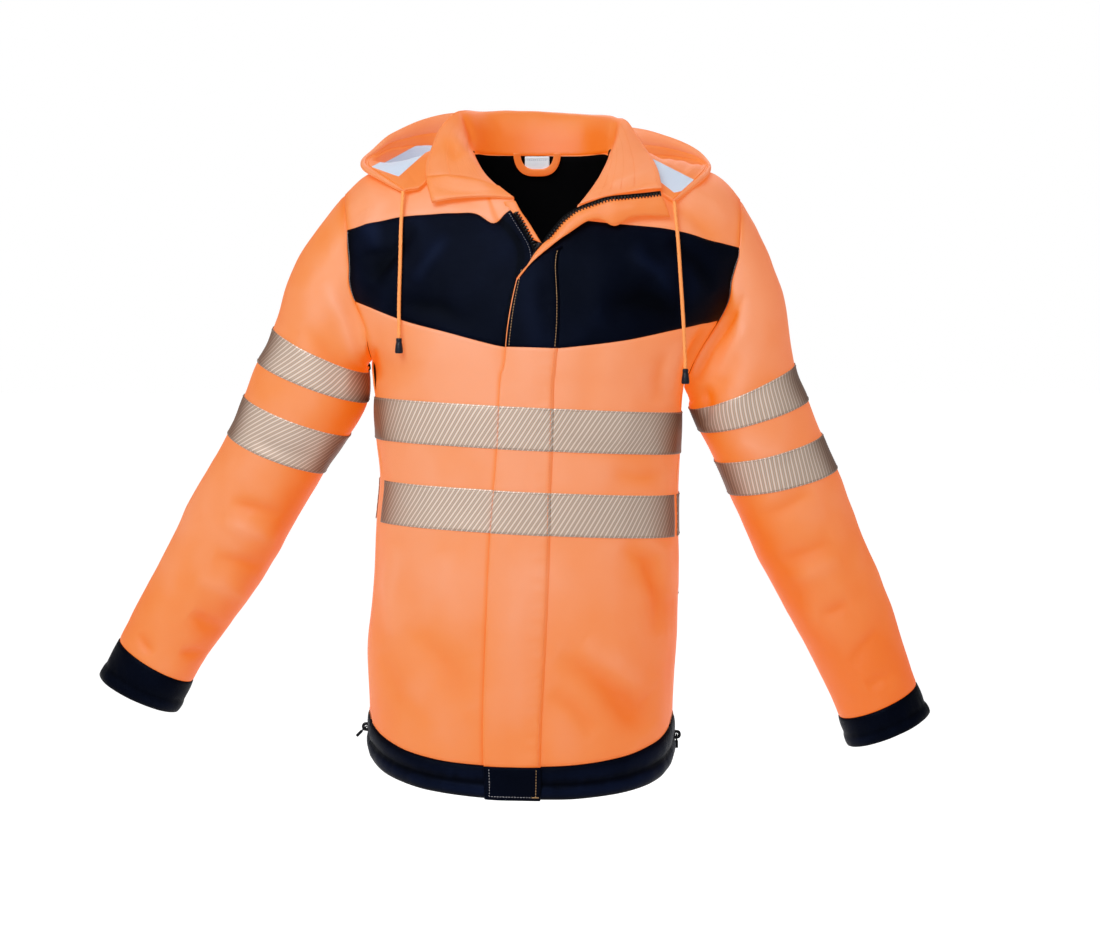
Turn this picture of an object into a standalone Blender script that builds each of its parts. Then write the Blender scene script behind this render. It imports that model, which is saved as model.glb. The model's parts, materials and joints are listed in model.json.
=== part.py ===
"""Hi-vis work jacket, filled out and hollow, held at the shoulders.

Metres, +Z up. The front faces -Y and the wearer's left arm is at +X. The origin is the middle of the neck.
Every cloth piece is a wall on a grid of points: rows run up the jacket and columns run across it. Neighbours
share their seam points and pull back half a seam gap each, and what lies on a panel uses the panel's own points,
moved out along the same normals.
"""
import math

import bmesh
import bpy
import numpy as np
from mathutils import Matrix, Vector

# Driving dimensions
SEAM_GAP = 0.0003
LAYER_GAP = 0.0004
CLOTH = 0.0020
PADDED_EDGE = 0.0010
TAPE = 0.0010
LINING = 0.0012
THIN_CLOTH = 0.0015
LABEL_CLOTH = 0.0006
RING_POWER = 2.35
FRONT_DEPTH = 0.135
BACK_DEPTH = 0.150
NECK_HALF_WIDTH = 0.083
NECK_SIDE_Z = 0.038
NECK_BACK_Z = 0.040
FRONT_CREST = 0.012
BACK_CREST = 0.034
ZIP_HALF = 0.007
SHOULDER_COLUMNS = 6
NECK_COLUMNS = 4
FRONT_COLUMNS = SHOULDER_COLUMNS + NECK_COLUMNS
FLAP_COLUMN = 7
BACK_COLUMNS = 2 * FRONT_COLUMNS

# Closed rows of the body from hem to armpit.
# side_z, front_drop, back_drop, slope, centre_x, half_width, front_depth, back_depth, seam_degrees
BODY_ROWS = {
    "hem_edge": (-0.687, 0.040, 0.014, -0.027, -0.024, 0.183, 0.124, 0.138, 76),
    "hem_ridge": (-0.663, 0.046, 0.016, -0.026, -0.024, 0.184, 0.126, 0.140, 76),
    "hem_top": (-0.637, 0.052, 0.018, -0.012, -0.024, 0.184, 0.127, 0.141, 76),
    "hip": (-0.570, 0.034, 0.012, -0.020, -0.024, 0.187, 0.130, 0.144, 76),
    "flank": (-0.490, 0.012, 0.004, -0.035, -0.018, 0.185, 0.132, 0.146, 76),
    "lower_tape_bottom": (-0.416, 0.0, 0.0, -0.050, -0.016, 0.184, 0.132, 0.147, 76),
    "lower_tape_top": (-0.366, 0.0, 0.0, -0.050, -0.014, 0.182, 0.133, 0.148, 76),
    "upper_tape_bottom": (-0.317, 0.0, 0.0, -0.050, -0.016, 0.185, 0.134, 0.149, 80),
    "upper_tape_top": (-0.267, 0.0, 0.0, -0.050, -0.015, 0.187, 0.135, 0.150, 84),
    "armpit": (-0.230, 0.0, 0.0, -0.084, -0.016, 0.190, 0.135, 0.150, 90),
}

# Storm flap and zip over the body rows: left edge of the flap, zip line, stitched edge of the flap.
FLAP_LINES = {
    "hem_edge": (-0.065, -0.028, -0.001),
    "hem_ridge": (-0.065, -0.028, 0.000),
    "hem_top": (-0.066, -0.027, 0.000),
    "hip": (-0.066, -0.025, 0.003),
    "flank": (-0.062, -0.020, 0.008),
    "lower_tape_bottom": (-0.058, -0.017, 0.011),
    "lower_tape_top": (-0.054, -0.015, 0.012),
    "upper_tape_bottom": (-0.050, -0.014, 0.014),
    "upper_tape_top": (-0.048, -0.013, 0.015),
    "armpit": (-0.045, -0.012, 0.016),
    "scye": (-0.043, -0.011, 0.017),
    "chest": (-0.041, -0.010, 0.018),
    "yoke_bottom": (-0.040, -0.009, 0.020),
    "yoke_low": (-0.030, -0.005, 0.022),
    "yoke_v": (-0.024, -0.002, 0.024),
    "yoke_top": (-0.050, 0.001, 0.052),
}

# Upper rows of the fronts as (x, z) points from the right armhole to the left one.
UPPER_ROWS = {
    "scye": ((-0.207, -0.196), (-0.05, -0.222), (0.02, -0.226), (0.180, -0.227)),
    "chest": ((-0.210, -0.174), (-0.05, -0.210), (0.02, -0.213), (0.192, -0.202)),
    "yoke_bottom": ((-0.222, -0.143), (-0.165, -0.165), (-0.046, -0.196), (0.016, -0.198), (0.095, -0.190),
                    (0.214, -0.166)),
    "yoke_low": ((-0.229, -0.104), (-0.06, -0.130), (0.02, -0.130), (0.228, -0.122)),
    "yoke_v": ((-0.231, -0.078), (-0.02, -0.080), (0.02, -0.080), (0.235, -0.096)),
    "yoke_top": ((-0.232, -0.057), (-0.163, -0.041), (-0.082, -0.038), (-0.057, -0.047), (-0.034, -0.038),
                 (0.045, -0.046), (0.088, -0.051), (0.131, -0.054), (0.160, -0.058), (0.238, -0.078)),
}
UPPER_NAMES = ("armpit", "scye", "chest", "yoke_bottom", "yoke_low", "yoke_v", "yoke_top", "shoulder_mid", "top")
LOWER_NAMES = tuple(BODY_ROWS)[:-1]
ROW_NAMES = LOWER_NAMES + UPPER_NAMES

# Front edges above the zip's slider, where the fronts stand open: (right front x, left front x).
OPEN_EDGES = {"yoke_v": (-0.011, 0.007), "yoke_top": (-0.036, 0.038)}

# Middle of the zip's teeth above the slider, from the slider up.
OPEN_ZIP = {
    "right": ((-0.0110, -0.1110, -0.0700), (-0.0160, -0.1100, -0.0610), (-0.0230, -0.1080, -0.0480),
              (-0.0300, -0.1040, -0.0370)),
    "left": ((0.0090, -0.1120, -0.0680), (0.0180, -0.1115, -0.0570), (0.0300, -0.1090, -0.0440),
             (0.0440, -0.1050, -0.0350), (0.0580, -0.1045, -0.0290), (0.0800, -0.1040, -0.0220),
             (0.1060, -0.1010, -0.0190), (0.1250, -0.0960, -0.0170), (0.1430, -0.0890, -0.0145)),
}
OPEN_ZIP_HALF = 0.0032
STRIP_FACING = (0.0, -1.0, 0.2)
# Free edge of the guard behind the right half, and of the flap's facing where it is turned outwards.
GUARD_EDGE = ((0.0010, -0.1110, -0.0745), (-0.0070, -0.1085, -0.0610), (-0.0150, -0.1045, -0.0480),
              (-0.0240, -0.0990, -0.0355))
TURNBACK_EDGE = ((0.0150, -0.1180, -0.0745), (0.0300, -0.1155, -0.0640), (0.0430, -0.1125, -0.0550),
                 (0.0540, -0.1100, -0.0480), (0.0700, -0.1080, -0.0460), (0.0860, -0.1060, -0.0530),
                 (0.1060, -0.1020, -0.0440), (0.1300, -0.0960, -0.0410), (0.1530, -0.0880, -0.0420))
GUARD_SET_BACK = (-0.0020, 0.0029, 0)
TURNBACK_SWELL = (0, -0.0030, 0.0010)
PIPING = 0.0030
FLAP_SLANT = 0.55
SHOULDER_MID_SHARE = 0.6

# Shoulder tips and the neck seam of each front, from the side of the neck down to the zip, as (x, z).
SHOULDER_TIPS = {"right": (-0.239, -0.012), "left": (0.243, -0.018)}
NECK_SEAMS = {
    "right": ((-0.083, 0.038), (-0.078, 0.024), (-0.066, 0.006), (-0.050, -0.009), (-0.032, -0.022)),
    "left": ((0.085, 0.038), (0.081, 0.022), (0.071, 0.004), (0.059, -0.013), (0.046, -0.029)),
}

# Outline of the shoulders: distance from the middle, height of the ridge.
RIDGE = ((0.083, 0.038), (0.120, 0.033), (0.170, 0.024), (0.217, 0.010), (0.241, -0.014))
# Half-width that the chest ring would have at each height, armholes filled in.
VIRTUAL_HALF_WIDTH = ((-0.242, 0.190), (-0.215, 0.200), (-0.190, 0.212), (-0.150, 0.236), (-0.100, 0.262),
                      (-0.050, 0.280), (0.050, 0.286))
CENTRE_SHIFT = ((-0.245, -0.016), (-0.190, -0.009), (-0.120, -0.002), (0.0, 0.001))

# Sleeve rings: outer x and z, inner x and z, half depth, centre y.
SLEEVE_ROWS = {
    "right": {
        "upper_tape_top": (-0.3245, -0.173, -0.212, -0.240, 0.067, 0.004),
        "upper_tape_bottom": (-0.344, -0.214, -0.213, -0.270, 0.066, 0.006),
        "lower_tape_top": (-0.362, -0.256, -0.233, -0.304, 0.064, 0.009),
        "lower_tape_bottom": (-0.383, -0.303, -0.264, -0.350, 0.061, 0.012),
        "elbow": (-0.422, -0.372, -0.309, -0.427, 0.056, 0.018),
        "forearm": (-0.466, -0.458, -0.360, -0.509, 0.050, 0.024),
        "cuff_top": (-0.513, -0.558, -0.427, -0.608, 0.043, 0.030),
        "cuff_ridge": (-0.527, -0.588, -0.438, -0.629, 0.044, 0.032),
        "cuff_end": (-0.537, -0.600, -0.444, -0.644, 0.044, 0.033),
    },
    "left": {
        "upper_tape_top": (0.309, -0.218, 0.181, -0.272, 0.067, 0.004),
        "upper_tape_bottom": (0.326, -0.261, 0.193, -0.300, 0.066, 0.006),
        "lower_tape_top": (0.342, -0.304, 0.212, -0.336, 0.064, 0.009),
        "lower_tape_bottom": (0.361, -0.346, 0.230, -0.376, 0.061, 0.012),
        "elbow": (0.389, -0.417, 0.273, -0.470, 0.056, 0.018),
        "forearm": (0.426, -0.506, 0.320, -0.557, 0.050, 0.024),
        "cuff_top": (0.462, -0.612, 0.367, -0.653, 0.046, 0.030),
        "cuff_ridge": (0.471, -0.634, 0.373, -0.673, 0.047, 0.032),
        "cuff_end": (0.478, -0.645, 0.377, -0.687, 0.047, 0.033),
    },
}
SLEEVE_PITCH = math.radians(7)
CAP_FRACTIONS = (0.22, 0.46, 0.72)
CAP_BULGE = 0.012
CAP_FLARE = 0.5
CAP_LOW_SHARE = 0.25

# Free edge of the open collar, from the right front corner round the back to the left one.
COLLAR_EDGE = (
    (-0.128, -0.090, -0.026), (-0.135, -0.074, 0.000), (-0.137, -0.052, 0.018), (-0.129, -0.018, 0.050),
    (-0.108, 0.030, 0.087), (-0.075, 0.072, 0.092), (-0.026, 0.090, 0.094), (0.035, 0.090, 0.091),
    (0.075, 0.068, 0.086), (0.098, 0.030, 0.082), (0.115, -0.010, 0.059), (0.130, -0.036, 0.033),
    (0.138, -0.058, 0.017), (0.143, -0.083, -0.009),
)
COLLAR_ROLL = 0.014
COLLAR_END_ROLL = 0.3
COLLAR_STEPS = 5
COLLAR_CLOTH = 0.0030

# Opening edge of the hood and its seam at the neck, from the right cord's exit to the left one.
HOOD_RIM = (
    (-0.164, -0.074, -0.012), (-0.196, -0.046, 0.006), (-0.220, -0.006, 0.024), (-0.210, 0.034, 0.044),
    (-0.181, 0.070, 0.064), (-0.150, 0.096, 0.080), (-0.112, 0.118, 0.090), (-0.060, 0.134, 0.090),
    (0.0, 0.140, 0.086), (0.055, 0.134, 0.080), (0.110, 0.116, 0.073), (0.150, 0.090, 0.064),
    (0.182, 0.062, 0.054), (0.203, 0.030, 0.036), (0.207, -0.004, 0.018), (0.190, -0.048, 0.001),
    (0.159, -0.076, -0.024),
)
HOOD_SEAM = (
    (-0.136, -0.067, 0.002), (-0.136, -0.052, 0.018), (-0.131, -0.030, 0.036), (-0.120, -0.006, 0.044),
    (-0.106, 0.026, 0.050), (-0.090, 0.050, 0.050), (-0.066, 0.070, 0.048), (-0.036, 0.083, 0.047),
    (0.0, 0.087, 0.047), (0.036, 0.083, 0.047), (0.066, 0.070, 0.047), (0.090, 0.050, 0.048),
    (0.106, 0.026, 0.047), (0.118, -0.004, 0.042), (0.129, -0.030, 0.032), (0.135, -0.052, 0.012),
    (0.137, -0.068, -0.004),
)
# Lowest line of the hood, where its outer wall turns under.
HOOD_FOLD = (
    (-0.146, -0.072, -0.008), (-0.162, -0.050, 0.012), (-0.176, 0.000, 0.034), (-0.186, 0.060, 0.022),
    (-0.184, 0.125, -0.040), (-0.158, 0.172, -0.110), (-0.110, 0.192, -0.165), (-0.055, 0.198, -0.190),
    (0.0, 0.199, -0.196), (0.055, 0.197, -0.192), (0.108, 0.190, -0.168), (0.156, 0.168, -0.112),
    (0.180, 0.120, -0.045), (0.184, 0.055, 0.022), (0.170, -0.002, 0.034), (0.158, -0.050, 0.010),
    (0.144, -0.074, -0.014),
)
HOOD_COLUMNS = 29
HOOD_WALL_STEPS = 5
HOOD_BULGE = 0.040
HOOD_SAG = 0.15
HOOD_TUCK = 0.2
HOOD_CLEARANCE = 0.011

# Hang loop and label inside the back of the neck.
LOOP_CENTRE_X = -0.005
LOOP_TOP_Z = 0.036
LOOP_HALF_WIDTH = 0.029
LOOP_DROP = 0.027
LOOP_BAND = 0.008
LABEL_SIZE = (0.030, 0.020)
LABEL_TOP_Z = 0.035
LABEL_STAND_OFF = 0.0034
LOOP_STAND_OFF = 0.0048

# Free ends of the hood's cord, down to their plastic ends.
CORDS = {
    "right": ((-0.1640, -0.0760, -0.0120), (-0.1655, -0.090, -0.050), (-0.1660, -0.104, -0.100),
              (-0.1670, -0.108, -0.145), (-0.1670, -0.109, -0.186)),
    "left": ((0.1590, -0.0777, -0.0240), (0.1625, -0.096, -0.070), (0.1650, -0.106, -0.115),
             (0.1680, -0.110, -0.165), (0.1705, -0.111, -0.222)),
}
CORD_DIAMETER = 0.0045
CORD_END_LENGTH = 0.018
CORD_END_RADIUS = 0.0048
CORD_END_NECK = 0.0030

# Zip sliders and their pulls; a pull turns on its crossbar inside the slider's bridge.
SLIDER_WIDTH = 0.008
SLIDER_LENGTH = 0.010
SLIDER_PLATE = 0.0020
BRIDGE_WIDTH = 0.0016
BRIDGE_LENGTH = 0.0060
BRIDGE_TOP = 0.0054
BRIDGE_HOLE = (0.0028, 0.0026)
PIVOT_HEIGHT = 0.0034
PULL_WIDTH = 0.0050
PULL_LENGTH = 0.0165
PULL_THICK = 0.0012
PULL_WINDOW = (0.0026, 0.0043)
PULL_BACK = 0.0010
CROSSBAR_RADIUS = 0.0006
CROSSBAR_LENGTH = 0.0040
MAIN_SLIDER_LIFT = 0.0010
MAIN_ZIP_RUN = (-0.5, 0, -1)
VENT_COLUMNS = {"left": slice(1, 3), "right": slice(-3, -1)}
VENT_PULL_TURNS = {"right": -45, "left": 0}

COLOURS = {
    "orange_cloth": (0.93, 0.27, 0.06, 0.75, 0.0),
    "navy_cloth": (0.008, 0.010, 0.026, 0.75, 0.0),
    "black_lining": (0.004, 0.004, 0.006, 0.9, 0.0),
    "reflective_tape": (0.55, 0.48, 0.42, 0.4, 0.3),
    "pale_mesh": (0.72, 0.78, 0.85, 0.8, 0.0),
    "black_zip": (0.01, 0.01, 0.012, 0.5, 0.0),
    "dark_metal": (0.05, 0.05, 0.055, 0.35, 0.8),
    "white_label": (0.85, 0.86, 0.88, 0.7, 0.0),
    "orange_cord": (0.93, 0.33, 0.10, 0.8, 0.0),
    "black_plastic": (0.012, 0.013, 0.018, 0.45, 0.0),
}


def start_clean():
    for thing in list(bpy.data.objects):
        bpy.data.objects.remove(thing, do_unlink=True)


def make_collection(name):
    group = bpy.data.collections.new(name)
    bpy.context.scene.collection.children.link(group)
    return group


def material(name):
    made = bpy.data.materials.get(name)
    if made:
        return made
    red, green, blue, rough, metal = COLOURS[name]
    made = bpy.data.materials.new(name)
    made.use_nodes = True
    shader = made.node_tree.nodes["Principled BSDF"]
    shader.inputs["Base Color"].default_value = (red, green, blue, 1)
    shader.inputs["Roughness"].default_value = rough
    shader.inputs["Metallic"].default_value = metal
    return made


def add_object(name, data, colour):
    thing = bpy.data.objects.new(name, data)
    data.materials.append(material(colour))
    JACKET.objects.link(thing)
    return thing


def table(points, at):
    """Value at a place in a two-column table."""
    return float(np.interp(at, [p[0] for p in points], [p[1] for p in points]))


def smooth_path(points, count):
    """Evenly spaced points on a smooth curve through the given ones."""
    points = np.array(points, float)
    padded = np.vstack([2 * points[0] - points[1], points, 2 * points[-1] - points[-2]])
    dense = []
    for k in range(1, len(padded) - 2):
        a, b, c, d = padded[k - 1:k + 3]
        for t in np.linspace(0, 1, 12, endpoint=False):
            dense.append(0.5 * (2 * b + (c - a) * t + (2 * a - 5 * b + 4 * c - d) * t ** 2
                                + (3 * b - a - 3 * c + d) * t ** 3))
    dense = np.vstack([dense, points[-1]])
    travel = np.concatenate([[0], np.cumsum(np.linalg.norm(np.diff(dense, axis=0), axis=1))])
    even = np.linspace(0, travel[-1], count)
    return np.stack([np.interp(even, travel, dense[:, axis]) for axis in range(3)], axis=1)


# Form of the body

def ring_point(row, degrees):
    """Point of a closed body row; 0 degrees is the front, +90 the wearer's left, 180 the back."""
    side_z, front_drop, back_drop, slope, centre, half, front, back, _ = BODY_ROWS[row]
    turn = math.radians(degrees)
    across = math.copysign(abs(math.sin(turn)) ** (2 / RING_POWER), math.sin(turn))
    along = math.copysign(abs(math.cos(turn)) ** (2 / RING_POWER), math.cos(turn))
    depth, drop = (front, front_drop) if along >= 0 else (back, back_drop)
    return (centre + half * across, -depth * along, side_z + slope * half * across - drop * abs(along))


def ring_degrees(row, x):
    """Angle on the front of a body row that has this x."""
    _, _, _, _, centre, half, _, _, _ = BODY_ROWS[row]
    share = (x - centre) / half
    return math.degrees(math.asin(math.copysign(abs(share) ** (RING_POWER / 2), share)))


def armpit_z(x):
    side_z, _, _, slope, centre, _, _, _, _ = BODY_ROWS["armpit"]
    return side_z + slope * (x - centre)


def ridge_z(x, crest):
    """Height of the shoulder line, raised across the neck by a crest."""
    away = abs(x)
    if away >= NECK_HALF_WIDTH:
        return table(RIDGE, away)
    return NECK_SIDE_Z + crest * (1 - (away / NECK_HALF_WIDTH) ** 2)


def body_depth(x, z, full_depth, crest):
    """Distance of the front or back from the shoulder plane, above the armpits."""
    low = armpit_z(x)
    rise = min(max((z - low) / (ridge_z(x, crest) - low), 0), 1)
    share = min(abs(x - table(CENTRE_SHIFT, z)) / table(VIRTUAL_HALF_WIDTH, z), 1)
    return full_depth * (1 - share ** RING_POWER) ** (1 / RING_POWER) * math.sqrt(1 - rise ** 2)


def front_point(x, z):
    return (x, -body_depth(x, z, FRONT_DEPTH, FRONT_CREST), z)


def back_point(x, z):
    return (x, body_depth(x, z, BACK_DEPTH, BACK_CREST), z)


def spread(marks, counts):
    """Values that step evenly from mark to mark."""
    values = [marks[0]]
    for start, end, count in zip(marks, marks[1:], counts):
        values += [start + (end - start) * (k + 1) / count for k in range(count)]
    return values


def spaced_like(guide, marks, places):
    """Values that run from mark to mark at the given columns, spaced between them as the guide is."""
    guide = np.array(guide)
    values = np.empty(len(guide))
    for low, high, start, end in zip(places, places[1:], marks, marks[1:]):
        part = guide[low:high + 1]
        values[low:high + 1] = start + (end - start) * (part - part[0]) / (part[-1] - part[0])
    return values


def armhole_edge(row, side):
    """(x, z) where an upper row meets the armhole."""
    if row == "top":
        return SHOULDER_TIPS[side]
    if row == "shoulder_mid":
        low, tip = armhole_edge("yoke_top", side), SHOULDER_TIPS[side]
        return tuple(np.array(low) + SHOULDER_MID_SHARE * (np.array(tip) - low))
    return UPPER_ROWS[row][0 if side == "right" else -1]


def top_row(side):
    """Shoulder ridge from the armhole to the neck, then the neck seam down to the zip."""
    tip, neck = SHOULDER_TIPS[side], NECK_SEAMS[side]
    ridge_x = spread((tip[0], neck[0][0]), (SHOULDER_COLUMNS,))
    points = [(x, 0.0, ridge_z(x, 0)) for x in ridge_x]
    points[0] = (tip[0], 0.0, tip[1])
    return points + [front_point(x, z) for x, z in neck[1:]]


def front_row(row, side):
    """Points of one front from its outer edge to the zip."""
    sign = -1 if side == "right" else 1
    if row == "top":
        return top_row(side)
    if row == "shoulder_mid":
        low, top = front_row("yoke_top", side), top_row(side)
        points = []
        for below, above in zip(low, top):
            x, _, z = np.array(below) + SHOULDER_MID_SHARE * (np.array(above) - below)
            points.append(front_point(x, z))
        return points
    if row in BODY_ROWS:
        flap_right, zip_line, flap_left = FLAP_LINES[row]
        flap = flap_right if side == "right" else flap_left
        marks = (sign * BODY_ROWS[row][-1], ring_degrees(row, flap), ring_degrees(row, zip_line + sign * ZIP_HALF))
        return [ring_point(row, turn) for turn in spread(marks, (FLAP_COLUMN, FRONT_COLUMNS - FLAP_COLUMN))]
    flap_right, zip_line, flap_left = FLAP_LINES[row]
    closed = (zip_line - ZIP_HALF, zip_line + ZIP_HALF)
    inner_right, inner_left = OPEN_EDGES.get(row, closed)
    flap, inner = (flap_right, inner_right) if side == "right" else (flap_left, inner_left)
    guide = [point[0] for point in front_row("armpit", side)]
    across = spaced_like(guide, (armhole_edge(row, side)[0], flap, inner), (0, FLAP_COLUMN, FRONT_COLUMNS))
    return [front_point(x, table(UPPER_ROWS[row], x)) for x in across]


def back_row(row):
    """Points of the back from the right side to the left one."""
    if row == "top":
        right, left = top_row("right")[:SHOULDER_COLUMNS + 1], top_row("left")[:SHOULDER_COLUMNS + 1]
        turns = np.linspace(-90, 90, 2 * NECK_COLUMNS + 1)[1:-1]
        centre = (right[-1][0] + left[-1][0]) / 2
        half = (left[-1][0] - right[-1][0]) / 2
        neck = [back_point(centre + half * math.sin(math.radians(turn)), NECK_BACK_Z) for turn in turns]
        return right + neck + left[::-1]
    if row in BODY_ROWS:
        seam = BODY_ROWS[row][-1]
        return [ring_point(row, turn) for turn in spread((-seam, seam - 360), (BACK_COLUMNS,))]
    (x0, z0), (x1, z1) = armhole_edge(row, "right"), armhole_edge(row, "left")
    shares = spaced_like([point[0] for point in back_row("armpit")], (0, 1), (0, BACK_COLUMNS))
    return [back_point(x0 + (x1 - x0) * s, z0 + (z1 - z0) * s) for s in shares]


# Cloth walls

def grid_normals(points, closed=False):
    """Outward unit normals of a grid whose rows run up and whose columns run from the right to the left."""
    if closed:
        wide = np.concatenate([points[:, -1:], points, points[:, :1]], axis=1)
        across = wide[:, 2:] - wide[:, :-2]
    else:
        across = np.gradient(points, axis=1)
    up = np.gradient(points, axis=0)
    normals = np.cross(across, up)
    return normals / np.maximum(np.linalg.norm(normals, axis=2, keepdims=True), 1e-12)


def toward(start, end, distance):
    away = end - start
    return start + away / np.maximum(np.linalg.norm(away, axis=-1, keepdims=True), 1e-9) * distance


def pull_back(points, sides):
    """Moves the named edges of a grid in by half a seam gap.

    The names are b for the bottom row, t for the top row, and s and e for the first and the last column.
    """
    moved, half = points.copy(), SEAM_GAP / 2
    if "s" in sides:
        moved[:, 0] = toward(points[:, 0], points[:, 1], half)
    if "e" in sides:
        moved[:, -1] = toward(points[:, -1], points[:, -2], half)
    base = moved.copy()
    if "b" in sides:
        moved[0] = toward(base[0], base[1], half)
    if "t" in sides:
        moved[-1] = toward(base[-1], base[-2], half)
    return moved


def wall(name, colour, points, normals, low, high, edges="btse", closed=False):
    """A cloth piece between two distances from its surface, closed round its edges.

    It is a loft whose two faces follow shared normals, so that neighbours keep an even gap along a seam.
    """
    shape = bmesh.new()
    outer, inner = ([[shape.verts.new(point) for point in row] for row in pull_back(points + normals * level, edges)]
                    for level in (high, low))
    rows, columns = points.shape[:2]
    spans = [(i, (i + 1) % columns) for i in range(columns if closed else columns - 1)]
    quads = []
    for j in range(rows - 1):
        for i, k in spans:
            quads.append((outer[j][i], outer[j][k], outer[j + 1][k], outer[j + 1][i]))
            quads.append((inner[j][i], inner[j + 1][i], inner[j + 1][k], inner[j][k]))
    for i, k in spans:
        quads.append((inner[0][i], inner[0][k], outer[0][k], outer[0][i]))
        quads.append((inner[-1][i], outer[-1][i], outer[-1][k], inner[-1][k]))
    if not closed:
        for j in range(rows - 1):
            quads.append((inner[j][0], outer[j][0], outer[j + 1][0], inner[j + 1][0]))
            quads.append((inner[j][-1], inner[j + 1][-1], outer[j + 1][-1], outer[j][-1]))
    for a, b, c, d in quads:
        shape.faces.new((a, b, c))
        shape.faces.new((a, c, d))
    data = bpy.data.meshes.new(name)
    shape.to_mesh(data)
    shape.free()
    return add_object(name, data, colour)


def build_body_grids():
    """Points and normals of both fronts and the back, with normals shared along their seams."""
    right = np.array([front_row(row, "right") for row in ROW_NAMES])
    left = np.array([front_row(row, "left")[::-1] for row in ROW_NAMES])
    back = np.array([back_row(row)[::-1] for row in ROW_NAMES])
    grids = {"right": right, "left": left, "back": back}
    normals = {key: grid_normals(points) for key, points in grids.items()}
    normals = share_normals(grids, normals)
    return grids, normals


def share_normals(grids, normals):
    """Gives points that lie on each other one common normal."""
    sums = {}
    for key, points in grids.items():
        for at, normal in zip(points.reshape(-1, 3), normals[key].reshape(-1, 3)):
            place = tuple(np.round(at, 5))
            sums[place] = sums.get(place, 0) + normal
    shared = {}
    for key, points in grids.items():
        flat = np.array([sums[tuple(np.round(at, 5))] for at in points.reshape(-1, 3)])
        flat /= np.linalg.norm(flat, axis=1, keepdims=True)
        shared[key] = flat.reshape(points.shape)
    return shared


def row_span(first, last):
    return slice(ROW_NAMES.index(first), ROW_NAMES.index(last) + 1)


def radial(points, outward):
    """Directions away from the middle of an armhole, square to the way out of it."""
    spokes = points - points.mean(axis=0)
    spokes -= np.outer(spokes @ outward, outward)
    return spokes / np.linalg.norm(spokes, axis=1, keepdims=True)


# Pieces

def sub_grid(grids, normals, key, rows, columns=slice(None)):
    return grids[key][rows, columns], normals[key][rows, columns]


def make_body(grids, normals):
    lower, yoke, shoulder = ("hem_top", "yoke_bottom"), ("yoke_bottom", "yoke_top"), ("yoke_top", "top")
    for side in ("right", "left"):
        for name, colour, rows in (("panel", "orange_cloth", lower), ("yoke", "navy_cloth", yoke),
                                   ("shoulder", "orange_cloth", shoulder)):
            points, out = sub_grid(grids, normals, side, row_span(*rows))
            title = f"front_{side}_panel" if name == "panel" else f"{name}_{side}"
            wall(title, colour, points, out, -CLOTH, 0)
        points, out = sub_grid(grids, normals, side, row_span("hem_edge", "hem_top"))
        wall(f"hem_band_{side}", "navy_cloth", points, out, -CLOTH, PADDED_EDGE)
    points, out = sub_grid(grids, normals, "back", row_span("hem_top", "top"))
    wall("back_panel", "orange_cloth", points, out, -CLOTH, 0)
    points, out = sub_grid(grids, normals, "back", row_span("hem_edge", "hem_top"))
    wall("hem_band_back", "navy_cloth", points, out, -CLOTH, PADDED_EDGE)
    inner = -CLOTH - LAYER_GAP
    points, out = sub_grid(grids, normals, "back", row_span("armpit", "top"), slice(1, -1))
    wall("upper_lining", "black_lining", points, out, inner - LINING, inner)


def make_tapes(grids, normals):
    low, high = LAYER_GAP, LAYER_GAP + TAPE
    on_flap = 2 * LAYER_GAP + CLOTH
    tapes = {"upper": ("upper_tape_bottom", "upper_tape_top"), "lower": ("lower_tape_bottom", "lower_tape_top")}
    for level, rows in tapes.items():
        points, out = sub_grid(grids, normals, "right", row_span(*rows), slice(0, FLAP_COLUMN + 1))
        wall(f"tape_{level}_right", "reflective_tape", points, out, low, high)
        points, out = sub_grid(grids, normals, "left", row_span(*rows), slice(FRONT_COLUMNS - FLAP_COLUMN, None))
        wall(f"tape_{level}_left", "reflective_tape", points, out, low, high)
        points, out = sub_grid(grids, normals, "back", row_span(*rows))
        wall(f"tape_{level}_back", "reflective_tape", points, out, low, high)
        points, out = flap_grid(grids, normals, rows)
        wall(f"tape_{level}_flap", "reflective_tape", points, out, on_flap, on_flap + TAPE)


def flap_grid(grids, normals, rows):
    """Surface under the storm flap: the inner columns of both fronts side by side."""
    right, right_out = sub_grid(grids, normals, "right", row_span(*rows), slice(FLAP_COLUMN, None))
    left, left_out = sub_grid(grids, normals, "left", row_span(*rows), slice(0, FRONT_COLUMNS - FLAP_COLUMN + 1))
    return np.concatenate([right, left], axis=1), np.concatenate([right_out, left_out], axis=1)


def make_flap(grids, normals):
    low, high = LAYER_GAP, LAYER_GAP + CLOTH
    points, out = flap_grid(grids, normals, ("hem_top", "yoke_bottom"))
    wall("flap_orange", "orange_cloth", points, out, low, high)
    points, out = flap_grid(grids, normals, ("yoke_bottom", "yoke_v"))
    slant = np.linspace(FLAP_SLANT, 0, points.shape[1])[:, None]
    points[-1] = points[-1] + (points[-2] - points[-1]) * slant
    wall("flap_navy", "navy_cloth", points, out, low, high)
    points, out = flap_grid(grids, normals, ("hem_edge", "hem_top"))
    wall("flap_tab", "navy_cloth", points, out, low + PADDED_EDGE, high + PADDED_EDGE)


def strip_points(path, half):
    """Two edges of a narrow strip along a path that faces the front."""
    path = np.array(path)
    run = np.gradient(path, axis=0)
    run /= np.linalg.norm(run, axis=1, keepdims=True)
    aside = np.cross(run, np.array(STRIP_FACING))
    aside /= np.linalg.norm(aside, axis=1, keepdims=True)
    return path - aside * half, path + aside * half


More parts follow.
